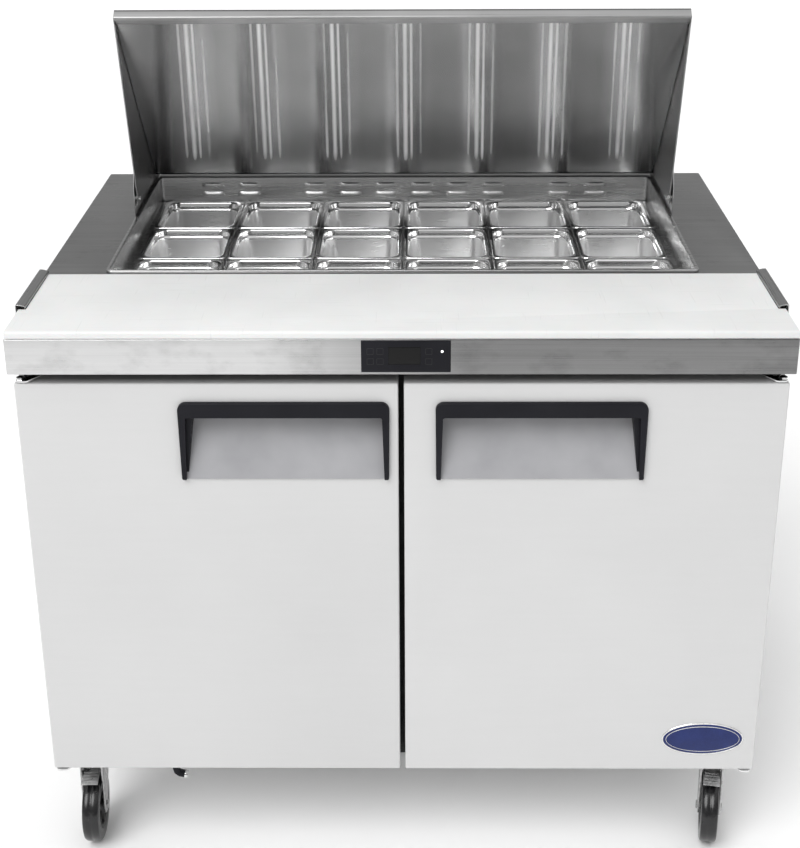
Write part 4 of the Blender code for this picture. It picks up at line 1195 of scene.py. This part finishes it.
def make_door(word):
    """Folded outer panel, moulded inner lining with a pocket for the handle, seal and handle."""
    body = "door_" + word
    low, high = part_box("door_skin_" + word)
    grip_low, grip_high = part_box("door_handle_" + word)

    def at_front(edge):
        return min(v.co.y for v in edge.verts) < low.y + 1e-5

    skin = slab("door_panel_" + word, low, high, 0.0030, 4, at_front)
    hollow = slab(
        "hollow",
        (low.x + SHEET, low.y + SHEET, low.z + SHEET),
        (high.x - SHEET, high.y + PAST, high.z - SHEET),
    )
    slot = slab(
        "slot",
        (grip_low.x + 0.004, low.y - PAST, grip_low.z + 0.003),
        (grip_high.x - 0.004, low.y + PAST, grip_high.z - 0.004),
    )
    cut(skin, hollow, slot)
    put(skin, body, DOOR_COAT, ["door_skin_" + word])
    core_low, core_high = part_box("door_core_" + word)
    bm = bmesh.new()
    bmesh.ops.create_cube(bm, size=1.0)
    lining_low = (core_low.x, low.y + LINING_FROM_FRONT, core_low.z)
    centre = middle(lining_low, core_high)
    size = [b - a for a, b in zip(lining_low, core_high)]
    bmesh.ops.scale(bm, vec=size, verts=bm.verts)
    bmesh.ops.translate(bm, vec=centre, verts=bm.verts)

    def pressed(face):
        """Ranks faces: the one most turned to the back, then the widest that is centred on the door."""
        centred = abs(face.calc_center_median().x - centre[0]) < 1e-4
        return round(face.normal.y, 3), face.calc_area() if centred else 0

    for inset, push in ((0.034, 0.0), (0.006, -0.004), (0.020, 0.0), (0.008, 0.003)):
        bm.normal_update()
        face = max(bm.faces, key=pressed)
        bmesh.ops.inset_region(bm, faces=[face], thickness=inset)
        bmesh.ops.translate(bm, vec=(0, push, 0), verts=face.verts)
    round_edges(bm, 0.0012, 2)
    lining = object_from("door_lining_" + word, bm)
    pocket_low = (grip_low.x - 0.001, low.y - PAST, grip_low.z - 0.001)
    pocket_high = (grip_high.x + 0.001, grip_high.y + 0.0008, grip_high.z + 0.001)
    cut(lining, slab("pocket", pocket_low, pocket_high))
    put(lining, body, DOOR_LINING, ["door_core_" + word])
    make_gasket(word)
    make_handle(word, low.y)


HINGE_LENGTH = 0.045
HINGE_SCREW = 0.014


def make_hinges():
    """Hinge brackets of both doors: a rounded tongue with a pin, and a screwed flange on the upper ones."""
    door_low, door_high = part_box("door_skin_right")
    front = low_of("cabinet_liner").y
    apron = low_of("countertop").z
    axis_x = door_high.x - 0.0095
    axis_y = low_of("countertop").y + 0.0185
    for word, side in (("left", -1), ("right", 1)):
        for level, z_low, z_high in (
            ("upper", door_high.z + 0.0022, door_high.z + 0.0052),
            ("lower", door_low.z - 0.0046, door_low.z - 0.0016),
        ):
            start = side * (axis_x - HINGE_LENGTH)
            tongue = [(start, front), (start, front - 0.012)]
            tongue += [(side * (axis_x - 0.012), axis_y - 0.009), (side * (axis_x + 0.006), axis_y - 0.009)]
            tongue += [(side * (axis_x + 0.006), front)]
            outline = filleted(tongue, [0, 0.004, 0.008, 0.006, 0], 5)
            plate = prism("plate", outline, "z", z_low, z_high, 0.0006, 2)
            up = level == "upper"
            base = z_high if up else z_low
            profile = [(0.001, 0.0), (0.0070, 0.0), (0.0070, 0.0026), (0.0058, 0.0036), (0.001, 0.0038)]
            pin = (side * axis_x, axis_y, base)
            parts = [plate, lathe("cap", profile, 6 if up else 24, pin, (0, 0, 1 if up else -1))]
            if up:
                flange = side * (axis_x - 0.020)
                low = (flange - 0.024, front - 0.0016, z_low)
                high = (flange + 0.024, front - 0.0004, apron - 0.002)
                parts.append(slab("flange", low, high, 0.0004, 1))
                for offset in (-HINGE_SCREW, HINGE_SCREW):
                    place = (flange + offset, front - 0.0014, (z_high + apron) / 2)
                    parts.append(screw("head", place, (0, -1, 0), 0.0036, 0.0022))
            put(merge("hinge_%s_%s" % (level, word), *parts), "cabinet", CHROME)


# ---- control module -----------------------------------------------------------------------------------
def make_module():
    """Flush controller: bezel, glossy display window, six key marks and one lit dot."""
    low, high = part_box("control_module")
    face = low.y + 0.0004
    body = slab("module_case", (low.x, face, low.z), high, 0.0012, 3)
    width = high.x - low.x
    height = high.z - low.z
    window_low = (low.x + width * 0.302, face - PAST, low.z + height * 0.24)
    window_high = (low.x + width * 0.665, face + 0.0008, low.z + height * 0.80)
    cut(body, slab("recess", window_low, window_high))
    put(body, "cabinet", BLACK, ["control_module"])
    inset = 0.0003
    pane_low = (window_low[0] + inset, face + 0.0002, window_low[2] + inset)
    pane_high = (window_high[0] - inset, face + 0.0008, window_high[2] - inset)
    put(slab("module_window", pane_low, pane_high, 0.0003, 2), "cabinet", WINDOW)
    marks = []
    for column in (0.10, 0.21, 0.755):
        for level in (0.34, 0.66):
            place = (low.x + width * column, low.z + height * level)
            ring = rounded_ring(0.0052, 0.0052, 0.0014, 0, place, 4)
            hole = rounded_ring(0.0047, 0.0047, 0.0010, 0, place, 4)
            sides = ((ring, 0.0001), (ring, -0.0001), (hole, -0.0001), (hole, 0.0001))
            rings = [[(x, face + depth, z) for x, z, _ in points] for points, depth in sides]
            marks.append(loft("mark", rings, wrap=True))
    put(merge("module_keys", *marks), "cabinet", KEY_PRINT)
    place = (low.x + width * 0.905, face + 0.0002, low.z + height * 0.66)
    profile = [(0.0019, 0.0), (0.0019, 0.0003), (0.0014, 0.00045), (0.0007, 0.00055), (0.0001, 0.0006)]
    put(lathe("module_dot", profile, 24, place, (0, -1, 0)), "cabinet", LED)


# ---- cabinet and what is inside -----------------------------------------------------------------------
CASTER_PLATE_HALF = (0.045, 0.038)
CASTER_PLATE_THICK = 0.0040
CASTER_BOLT = (0.034, 0.027)


def make_cabinet():
    """Outer casing with rounded folds, open in front and at the machine niche, and the caster plates."""
    low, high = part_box("cabinet_shell")
    bottom = low_of("cabinet_liner").z
    grille_low, grille_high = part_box("rear_grille")

    def not_in_front(edge):
        return max(v.co.y for v in edge.verts) > low.y + 1e-4

    case = slab("casing", (low.x, low.y, bottom), high, 0.0030, 3, not_in_front)
    inside_low = (low.x + SHEET, low.y - PAST, bottom + SHEET)
    inside = slab("inside", inside_low, (high.x - SHEET, high.y - SHEET, high.z + PAST))
    vent_low = (grille_low.x + 0.02, high.y - PAST, grille_low.z + 0.012)
    vent_high = (grille_high.x - 0.02, high.y + PAST, grille_high.z - 0.02)
    cut(case, inside, slab("vent", vent_low, vent_high))
    put(case, "cabinet", SIDE_COAT, ["cabinet_shell"])
    for where in CASTERS:
        x, y = caster_place(where)
        half_x, half_y = CASTER_PLATE_HALF
        under = bottom - CASTER_PLATE_THICK
        plate_low = (x - half_x, y - half_y, under)
        plate = slab("plate", plate_low, (x + half_x, y + half_y, bottom - 0.0001), 0.0010, 2)
        bolts = []
        for dx in (-CASTER_BOLT[0], CASTER_BOLT[0]):
            for dy in (-CASTER_BOLT[1], CASTER_BOLT[1]):
                profile = [(0.001, 0.0), (0.0062, 0.0), (0.0062, 0.0034), (0.0050, 0.0042), (0.001, 0.0044)]
                bolts.append(lathe("bolt", profile, 6, (x + dx, y + dy, under), (0, 0, -1)))
        put(merge("caster_plate_" + where, plate, *bolts), "cabinet", ZINC)
    repaint("cabinet_liner", LINING)
    repaint("cabinet_foam", FOAM)


DRAIN_PLACE = (-0.410, -0.345)
DRAIN_LOW = 0.112
DRAIN_END = (0.97, 0.0, -0.24)


def make_drain():
    """Outlet pipe under the cabinet with an elbow to the right and a bright collar."""
    x, y = DRAIN_PLACE
    bottom = low_of("cabinet_liner").z
    path = [(x, y, bottom + 0.001), (x, y, DRAIN_LOW + 0.011), (x + 0.0016, y, DRAIN_LOW + 0.0045)]
    path += [(x + 0.0060, y, DRAIN_LOW + 0.0008), (x + 0.0145, y, DRAIN_LOW - 0.0013)]
    pipe = tube("drain_pipe", path, 0.0068, 20)
    put(pipe, "cabinet", BLACK)
    collar = [(0.0040, 0.0), (0.0074, 0.0), (0.0078, 0.0010), (0.0074, 0.0056)]
    collar += [(0.0062, 0.0062), (0.0040, 0.0056)]
    put(lathe("drain_collar", collar, 24, path[-1], DRAIN_END, True), "cabinet", CHROME)


SHELF_CORNER = 0.012
SHELF_SPACES = 44


def make_shelf():
    """Plated wire shelf: frame, wires from front to back and two rails, on four clips."""
    low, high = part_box("wire_shelf")
    wire = (high.z - low.z) / 2
    z = low.z + wire
    left, right = low.x + SHELF_CORNER, high.x - SHELF_CORNER
    front, back = low.y + SHELF_CORNER, high.y - SHELF_CORNER
    loop = []
    for turn, centre in enumerate(((right, back), (left, back), (left, front), (right, front))):
        loop += [(x, y, z) for x, y in arc(centre, SHELF_CORNER - wire, turn * 90, turn * 90 + 90, 5)]
    parts = [tube("frame", loop, wire, 10, True)]
    for i in range(1, SHELF_SPACES):
        x = low.x + (high.x - low.x) * i / SHELF_SPACES
        parts.append(tube("wire", [(x, low.y + wire, z), (x, high.y - wire, z)], 0.0016, 8))
    for share in (0.33, 0.67):
        y = low.y + (high.y - low.y) * share
        ends = [(low.x + wire, y, z - 0.0001), (high.x - wire, y, z - 0.0001)]
        parts.append(tube("rail", ends, wire * 0.9, 8))
    put(merge("shelf_wires", *parts), "cabinet", SHELF_COAT, ["wire_shelf"])
    clips = []
    for side, edge in ((-1, low.x), (1, high.x)):
        for y in (low.y + 0.05, high.y - 0.05):
            outer, inner = edge + side * 0.0112, edge - side * 0.004
            path = [(outer, z + 0.018), (outer, z - 0.0062), (inner, z - 0.0062), (inner, z - 0.0035)]
            clips.append(prism("clip", strip(path, -0.0012 * side, 0.002), "y", y - 0.008, y + 0.008))
    put(merge("shelf_clips", *clips), "cabinet", ZINC)


def fan_centre(node):
    """The point on a fan's axis halfway through its depth."""
    low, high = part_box(node)
    axis = joint(node + "_spin")["pos_m"]
    return Vector((axis[0], (low.y + high.y) / 2, axis[2]))


BLADE_SHEET = 0.0016
BLADES = 5
CONDENSER_FAN_RADIUS = 0.100
EVAPORATOR_FAN_RADIUS = 0.070


def make_fan(node, radius):
    """Moulded fan: a domed hub and twisted blades with rounded tips."""
    centre = fan_centre(node)
    hub = radius * 0.28
    root, tip = hub * 0.9, radius * 0.985
    profile = [(0.001, -0.010), (root, -0.010), (hub, -0.007), (hub, 0.007)]
    profile += [(hub * 0.85, 0.0098), (0.001, 0.0102)]
    parts = [lathe("hub", profile, 40, centre, (0, -1, 0))]
    for index in range(BLADES):
        turn = Matrix.Rotation(2 * math.pi * index / BLADES, 4, "Y")
        rows = []
        for i in range(9):
            t = i / 8
            reach = root + (tip - root) * t
            width = radius * (0.17 + 0.16 * math.sin(math.pi * (0.15 + 0.6 * t))) * (1 - 0.35 * t ** 6)
            pitch = math.radians(27 - 11 * t)
            row = []
            for j in range(9):
                a = -1 + 2 * j / 8
                across = a * width
                camber = 0.0035 * (1 - a * a)
                point = Vector((across * math.cos(pitch), across * math.sin(pitch) + camber, reach))
                row.append(Vector(centre) + turn @ point)
            rows.append(row)
        blade = loft("blade", rows, around=False)
        thicken(blade, BLADE_SHEET)
        settle(blade)
        parts.append(blade)
    put(merge(node + "_moulded", *parts), node, FAN_PLASTIC, [node])


def make_fan_ring(name, centre, radius, y_near, y_far):
    """Round shroud with a wire guard in front of a fan."""
    near, far = y_near - centre.y, y_far - centre.y
    ring = [(radius + 0.004, near), (radius + 0.004, far), (radius + 0.006, far), (radius + 0.006, near)]
    wires = [lathe("shroud", ring, 56, centre, (0, 1, 0), True)]

    def on_guard(reach, angle, depth):
        return centre.x + reach * math.cos(angle), y_near + depth, centre.z + reach * math.sin(angle)

    for share in (0.35, 0.6, 0.85):
        loop = [on_guard(radius * share, 2 * math.pi * s / 48, 0.002) for s in range(48)]
        wires.append(tube("loop", loop, 0.0011, 6, True))
    for s in range(4):
        angle = math.pi * (0.25 + 0.5 * s)
        path = [on_guard((radius + 0.005) * u, angle, 0.0015) for u in (0.12, 0.5, 1.0)]
        wires.append(tube("spoke", path, 0.0012, 6))
    put(merge(name, *wires), "cabinet", SHELF_COAT)


COPPER_PIPE = 0.0040


def make_machinery():
    """Compressor can with its terminal box, finned coils, copper pipes and both fans."""
    low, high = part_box("compressor")
    centre = (*middle(low, high)[:2], low.z)
    foot = (high.x - low.x) / 2
    height = high.z - low.z
    can = foot * 0.897
    seam = can + 0.0030
    profile = [(0.002, 0.0), (foot, 0.0), (foot, 0.004), (foot * 0.96, 0.012), (can, 0.022)]
    profile += [(can, height * 0.48), (seam, height * 0.485), (seam, height * 0.515), (can, height * 0.52)]
    side_top = height * 0.74
    for degrees in range(0, 90, 8):
        a = math.radians(degrees)
        profile.append((can * math.cos(a), side_top + (height - side_top) * math.sin(a)))
    profile.append((0.002, height))
    body = lathe("can", profile, 64, centre)
    box_low = (centre[0] + can - 0.004, centre[1] - 0.028, low.z + 0.055)
    box_high = (centre[0] + can + 0.022, centre[1] + 0.028, low.z + 0.115)
    body = merge("compressor_can", body, slab("terminal", box_low, box_high, 0.003, 3))
    put(body, "cabinet", COMPRESSOR_PAINT, ["compressor"])
    repaint("condenser_coil", FINS)
    repaint("evaporator_coil", FINS)
    coil_low, coil_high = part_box("condenser_coil")
    coil_y = (coil_low.y + coil_high.y) / 2
    pipes = []
    for i in range(6):
        z = coil_low.z + 0.025 + i * (coil_high.z - coil_low.z - 0.05) / 5
        for side, edge in ((-1, coil_low.x), (1, coil_high.x)):
            turns = [math.radians(degrees) for degrees in range(-90, 91, 18)]
            bend = [(edge + side * 0.009 * math.cos(a), coil_y + 0.010 * math.sin(a), z) for a in turns]
            pipes.append(tube("bend", bend, COPPER_PIPE, 10))
    x, y, z = centre[0], centre[1] + can * 0.55, low.z + height * 0.80
    run = [(x, y, z), (x, y + 0.002, z + 0.05), (x + 0.03, y + 0.002, z + 0.10)]
    run += [(x + 0.09, y + 0.002, z + 0.115), (-0.05, y - 0.005, z + 0.115), (0.02, y - 0.008, z + 0.10)]
    run += [(coil_low.x + out, y - 0.008, coil_high.z - 0.06) for out in (-0.012, 0.001)]
    pipes.append(tube("discharge", smooth_path(run, 6), COPPER_PIPE, 10))
    put(merge("copper_pipes", *pipes), "cabinet", COPPER)
    for place, radius in (("condenser", CONDENSER_FAN_RADIUS), ("evaporator", EVAPORATOR_FAN_RADIUS)):
        node = place + "_fan"
        make_fan(node, radius)
        fan_low, fan_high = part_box(node)
        near, far = fan_low.y - 0.010, fan_high.y + 0.004
        make_fan_ring(place + "_shroud", fan_centre(node), radius + 0.003, near, far)


def smooth_path(points, steps):
    """Catmull-Rom curve through given points."""
    points = [Vector(p) for p in points]
    full = [points[0] * 2 - points[1], *points, points[-1] * 2 - points[-2]]
    made = []
    for a, b, c, d in zip(full, full[1:], full[2:], full[3:]):
        for i in range(steps):
            t = i / steps
            square = (2 * a - 5 * b + 4 * c - d) * t * t
            cube = (3 * b - a - 3 * c + d) * t ** 3
            made.append(0.5 * (2 * b + (c - a) * t + square + cube))
    made.append(points[-1])
    return made


GRILLE_ROWS = 9
GRILLE_SPANS = ((-0.46, -0.17), (-0.145, 0.145), (0.17, 0.46))


def make_grille():
    """Pressed panel over the machine niche: banks of slots with hooded lips, screws and a cable gland."""
    low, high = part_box("rear_grille")
    panel = slab("grille_panel", low, high)
    rise = (high.z - low.z) / (GRILLE_ROWS + 1)
    lips = []
    for index in range(1, GRILLE_ROWS + 1):
        z = low.z + index * rise
        for left, right in GRILLE_SPANS:
            ring = rounded_ring((right - left) / 2, 0.006, 0.0055, 0, ((left + right) / 2, z), 4)
            ring = [point[:2] for point in ring]
            cut(panel, prism("slot", ring, "y", low.y - PAST, high.y + PAST))
            path = arc((high.y - 0.0004, z + 0.0062), 0.0046, 78, -20, 5)
            path = [(low.y - 0.0010 - (y - high.y + 0.0004), zz - 0.0005) for y, zz in path]
            lips.append(prism("lip", strip(path, 0.0007, 0.0), "x", left + 0.004, right - 0.004))
    put(panel, "cabinet", SIDE_COAT, ["rear_grille"])
    put(merge("grille_lips", *lips), "cabinet", SIDE_COAT)
    heads = [
        screw("head", (x, high.y - 0.0004, z), (0, 1, 0), 0.0045, 0.0022)
        for x in (low.x + 0.012, 0.0, high.x - 0.012)
        for z in (low.z + 0.010, high.z - 0.010)
    ]
    put(merge("grille_screws", *heads), "cabinet", CHROME)
    gland = [(0.0050, 0.0), (0.0115, 0.0), (0.0115, 0.0016), (0.0085, 0.0022)]
    gland += [(0.0075, 0.0028), (0.0050, 0.0030)]
    place = (high.x - 0.0155, high.y - 0.0006, low.z + (high.z - low.z) * 0.55)
    put(lathe("power_gland", gland, 32, place, (0, 1, 0), True), "cabinet", BLACK)


# ---- casters ------------------------------------------------------------------------------------------
CASTERS = ("front_left", "front_right", "rear_left", "rear_right")
TRAIL = -0.042
WHEEL_HALF = 0.015
LEG_CLEARANCE = 0.002
LEG_SHEET = 0.003
YOKE_FRONT = -0.054
YOKE_BACK = 0.024
PEDAL_Y = -0.040
TREAD_HALF = 0.0148


def caster_place(where):
    """A caster's swivel axis, in (X, Y)."""
    return tuple(joint("swivel_%s_turn" % where)["pos_m"][:2])


def caster_matrix(where):
    """Places a caster made about the Z axis: from its swivel axis to its wheel's centre gives its turn."""
    x, y = caster_place(where)
    wheel = middle(*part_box("caster_wheel_" + where))
    offset = Vector((wheel[0] - x, wheel[1] - y))
    turn = math.atan2(offset.x, -offset.y)
    return Matrix.Translation((x, y, 0)) @ Matrix.Rotation(turn, 4, "Z")


def make_caster(where):
    """Grooved tyre, ribbed hub, and a fork with its race, kingpin, legs, nuts and axle."""
    place = caster_matrix(where)
    wheel_low, wheel_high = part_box("caster_wheel_" + where)
    radius = (wheel_high.z - wheel_low.z) / 2
    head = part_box("caster_fork_" + where)[1].z
    half = WHEEL_HALF
    inner = radius - 0.0215
    tyre = [
        (inner, -half + 0.0012), (inner + 0.0025, -half), (radius - 0.0062, -half),
        (radius - 0.0026, -half + 0.0012), (radius - 0.0006, -half + 0.0044), (radius, -half + 0.0085),
        (radius, -0.0022), (radius - 0.0007, -0.0012), (radius - 0.0007, 0.0012), (radius, 0.0022),
        (radius, half - 0.0085), (radius - 0.0006, half - 0.0044), (radius - 0.0026, half - 0.0012),
        (radius - 0.0062, half), (inner + 0.0025, half), (inner, half - 0.0012),
    ]
    axle = (0, TRAIL, radius)
    rubber_ring = lathe("tyre_" + where, tyre, 72, axle, (1, 0, 0), True)
    rim = inner - 0.0001
    hub_profile = [
        (0.0056, -half + 0.0004), (0.0110, -half + 0.0004), (0.0125, -half + 0.0030), (0.0135, -0.0085),
        (rim - 0.0064, -0.0085), (rim - 0.0044, -half + 0.0018), (rim, -half + 0.0010),
        (rim, half - 0.0010), (rim - 0.0044, half - 0.0018), (rim - 0.0064, 0.0085),
        (0.0135, 0.0085), (0.0125, half - 0.0030), (0.0110, half - 0.0004), (0.0056, half - 0.0004),
    ]
    hub = lathe("hub", hub_profile, 60, axle, (1, 0, 0), True)
    parts = [hub]
    for index in range(6):
        turn = Matrix.Translation(axle) @ Matrix.Rotation(math.pi * index / 3, 4, "X")
        for side in (-1, 1):
            near, far = sorted((side * 0.0080, side * (half - 0.0022)))
            rib = slab("rib", (near, -0.0016, 0.0120), (far, 0.0016, rim - 0.0052), 0.0005, 1)
            rib.data.transform(turn)
            parts.append(rib)
    hub = merge("hub_" + where, *parts)
    race = [(0.001, 0), (0.0250, 0), (0.0260, 0.0012), (0.0260, 0.0040), (0.0232, 0.0056)]
    race += [(0.0232, 0.0074), (0.0256, 0.0088), (0.0256, 0.0116), (0.0240, 0.0126), (0.001, 0.0126)]
    kingpin = [(0.001, 0.018), (0.0085, 0.018), (0.0085, 0.0235), (0.0070, 0.0250), (0.001, 0.0252)]
    fork = [
        lathe("race", [(r, head - down) for r, down in race], 56),
        lathe("kingpin", [(r, head - down) for r, down in kingpin], 6),
    ]
    leg_x = half + LEG_CLEARANCE
    yoke_x = leg_x + 0.0036
    yoke_low = (-yoke_x, YOKE_FRONT, head - 0.0180)
    fork.append(slab("yoke", yoke_low, (yoke_x, YOKE_BACK, head - 0.0120), 0.0026, 3))
    leg = [(-0.0530, head - 0.0135), (0.0235, head - 0.0135), (0.0215, head - 0.026)]
    leg += [(TRAIL + 0.0145, radius + 0.004), (TRAIL + 0.0135, radius - 0.0135)]
    leg += [(TRAIL - 0.0135, radius - 0.0135), (TRAIL - 0.0145, radius + 0.004), (-0.0555, head - 0.034)]
    leg = filleted(leg, [0.002, 0.002, 0.006, 0.012, 0.0120, 0.0120, 0.020, 0.010], 6)
    nut = [(0.001, 0.0), (0.0078, 0.0), (0.0078, 0.0016), (0.0078, 0.0024)]
    nut += [(0.0066, 0.0030), (0.001, 0.0030)]
    for side in (-1, 1):
        near, far = sorted((side * leg_x, side * (leg_x + LEG_SHEET)))
        fork.append(prism("leg", leg, "x", near, far, 0.0007, 2))
        fork.append(lathe("nut", nut, 6, (side * (leg_x + 0.0029), TRAIL, radius), (side, 0, 0)))
    axle_rod = [(0.001, -leg_x - 0.0055), (0.0046, -leg_x - 0.0055), (0.0050, -leg_x - 0.0050)]
    axle_rod += [(0.0050, leg_x + 0.0050), (0.0046, leg_x + 0.0055), (0.001, leg_x + 0.0055)]
    fork.append(lathe("axle", axle_rod, 24, axle, (1, 0, 0)))
    fork = merge("fork_" + where, *fork)
    for obj, body, finish, slot, node in (
        (rubber_ring, "wheel_" + where, TYRE, "caster_rubber", ["caster_wheel_" + where]),
        (hub, "wheel_" + where, HUB_PLASTIC, "black_plastic", []),
        (fork, "swivel_" + where, ZINC, "zinc", ["caster_fork_" + where]),
    ):
        obj.data.transform(place)
        put(obj, body, finish, node)
    if where.startswith("front"):
        make_brake(where, place)


def make_brake(where, place):
    """Foot lever: a curved ribbed tread and a pivot barrel."""
    pivot = joint("brake_%s_press" % where)["pos_m"][2]
    path = [(PEDAL_Y - 0.0405, pivot - 0.0085), (PEDAL_Y - 0.024, pivot - 0.0036), (PEDAL_Y, pivot)]
    tread = strip(filleted(path, [0, 0.03, 0], 6, False), 0.0024, 0.0)
    parts = [prism("tread", tread, "x", -TREAD_HALF, TREAD_HALF, 0.0008, 2)]
    for i in range(4):
        ahead = 0.016 + i * 0.006
        y = PEDAL_Y - ahead
        z = pivot + 0.0004 - 0.0036 * ahead / 0.024 - max(0.0, ahead - 0.024) * 0.15
        rib_low, rib_high = (-0.0125, y - 0.0012, z - 0.0006), (0.0125, y + 0.0012, z + 0.0012)
        parts.append(slab("rib", rib_low, rib_high, 0.0005, 2))
    barrel = [(0.0012, -0.0158), (0.0042, -0.0158), (0.0045, -0.0154)]
    barrel += [(0.0045, 0.0154), (0.0042, 0.0158), (0.0012, 0.0158)]
    parts.append(lathe("barrel", barrel, 24, (0, PEDAL_Y, pivot), (1, 0, 0)))
    pedal = merge("pedal_" + where, *parts)
    pedal.data.transform(place)
    put(pedal, "brake_" + where, ZINC, ["brake_pedal_" + where])


# ---- stage, light and camera --------------------------------------------------------------------------
FLOOR_HALF = 16


def make_stage():
    """A wide pale floor."""
    floor = slab("floor", (-FLOOR_HALF, -FLOOR_HALF, -0.05), (FLOOR_HALF, FLOOR_HALF, 0.0))
    floor.data.materials.append(FLOOR)


SUN_PLACE = (-0.35, -0.55, 0.76)
SUN_STRENGTH = 1.86
SUN_SPREAD = 40


def make_sun():
    """A very broad distant lamp, up in front of the object and to its left."""
    data = bpy.data.lights.new("key", "SUN")
    data.energy = SUN_STRENGTH
    data.angle = math.radians(SUN_SPREAD)
    lamp = bpy.data.objects.new("key", data)
    lamp.rotation_euler = Vector(SUN_PLACE).to_track_quat("Z", "Y").to_euler()
    bpy.context.collection.objects.link(lamp)


# How bright the sky is from straight down (0) over the horizon to straight up (1).
SKY_BANDS = [(0.0, 0.90), (0.06, 0.34), (0.50, 0.34), (0.80, 0.90), (1.0, 1.20)]


def make_world():
    """Soft sky: brightest overhead, a darker band behind the object for the steel to show."""
    world = bpy.data.worlds.new("studio")
    bpy.context.scene.world = world
    world.use_nodes = True
    tree = world.node_tree
    coords = tree.nodes.new("ShaderNodeTexCoord")
    split = tree.nodes.new("ShaderNodeSeparateXYZ")
    tree.links.new(coords.outputs["Generated"], split.inputs["Vector"])
    bands = tree.nodes.new("ShaderNodeValToRGB")
    elements = bands.color_ramp.elements
    while len(elements) < len(SKY_BANDS):
        elements.new(0.5)
    for element, (at, level) in zip(elements, SKY_BANDS):
        element.position = at
        element.color = (level, level, level, 1.0)
    tree.links.new(split.outputs["Z"], bands.inputs["Fac"])
    shade = tree.nodes["Background"]
    tree.links.new(bands.outputs["Color"], shade.inputs["Color"])
    shade.inputs["Strength"].default_value = 1.0


CAMERA_PLACE = (0.0219, -2.5549, 1.8886)
CAMERA_PITCH = 21.112
CAMERA_YAW = -0.611
CAMERA_ROLL = -0.287
CAMERA_LENS = 63.442
CAMERA_SHIFT = -0.15


def make_camera():
    """A long lens, above the table and looking down at it."""
    data = bpy.data.cameras.new("camera")
    data.sensor_fit = "AUTO"
    data.sensor_width = 36.0
    data.lens = CAMERA_LENS
    data.shift_y = CAMERA_SHIFT
    data.clip_start, data.clip_end = 0.05, 100.0
    camera = bpy.data.objects.new("camera", data)
    turn = Matrix.Rotation(math.radians(-CAMERA_YAW), 4, "Z")
    turn = turn @ Matrix.Rotation(math.radians(90 - CAMERA_PITCH), 4, "X")
    turn = turn @ Matrix.Rotation(math.radians(CAMERA_ROLL), 4, "Z")
    camera.matrix_world = Matrix.Translation(CAMERA_PLACE) @ turn
    bpy.context.collection.objects.link(camera)
    bpy.context.scene.camera = camera


def main():
    make_camera()
    make_stage()
    make_world()
    make_sun()
    bpy.context.scene.view_settings.view_transform = "Standard"
    make_worktop()
    make_board()
    make_guards()
    make_well()
    make_pans()
    make_lid()
    make_hood()
    make_door("left")
    make_door("right")
    make_badge()
    make_hinges()
    make_module()
    make_cabinet()
    make_drain()
    make_shelf()
    make_machinery()
    make_grille()
    for where in CASTERS:
        make_caster(where)


main()
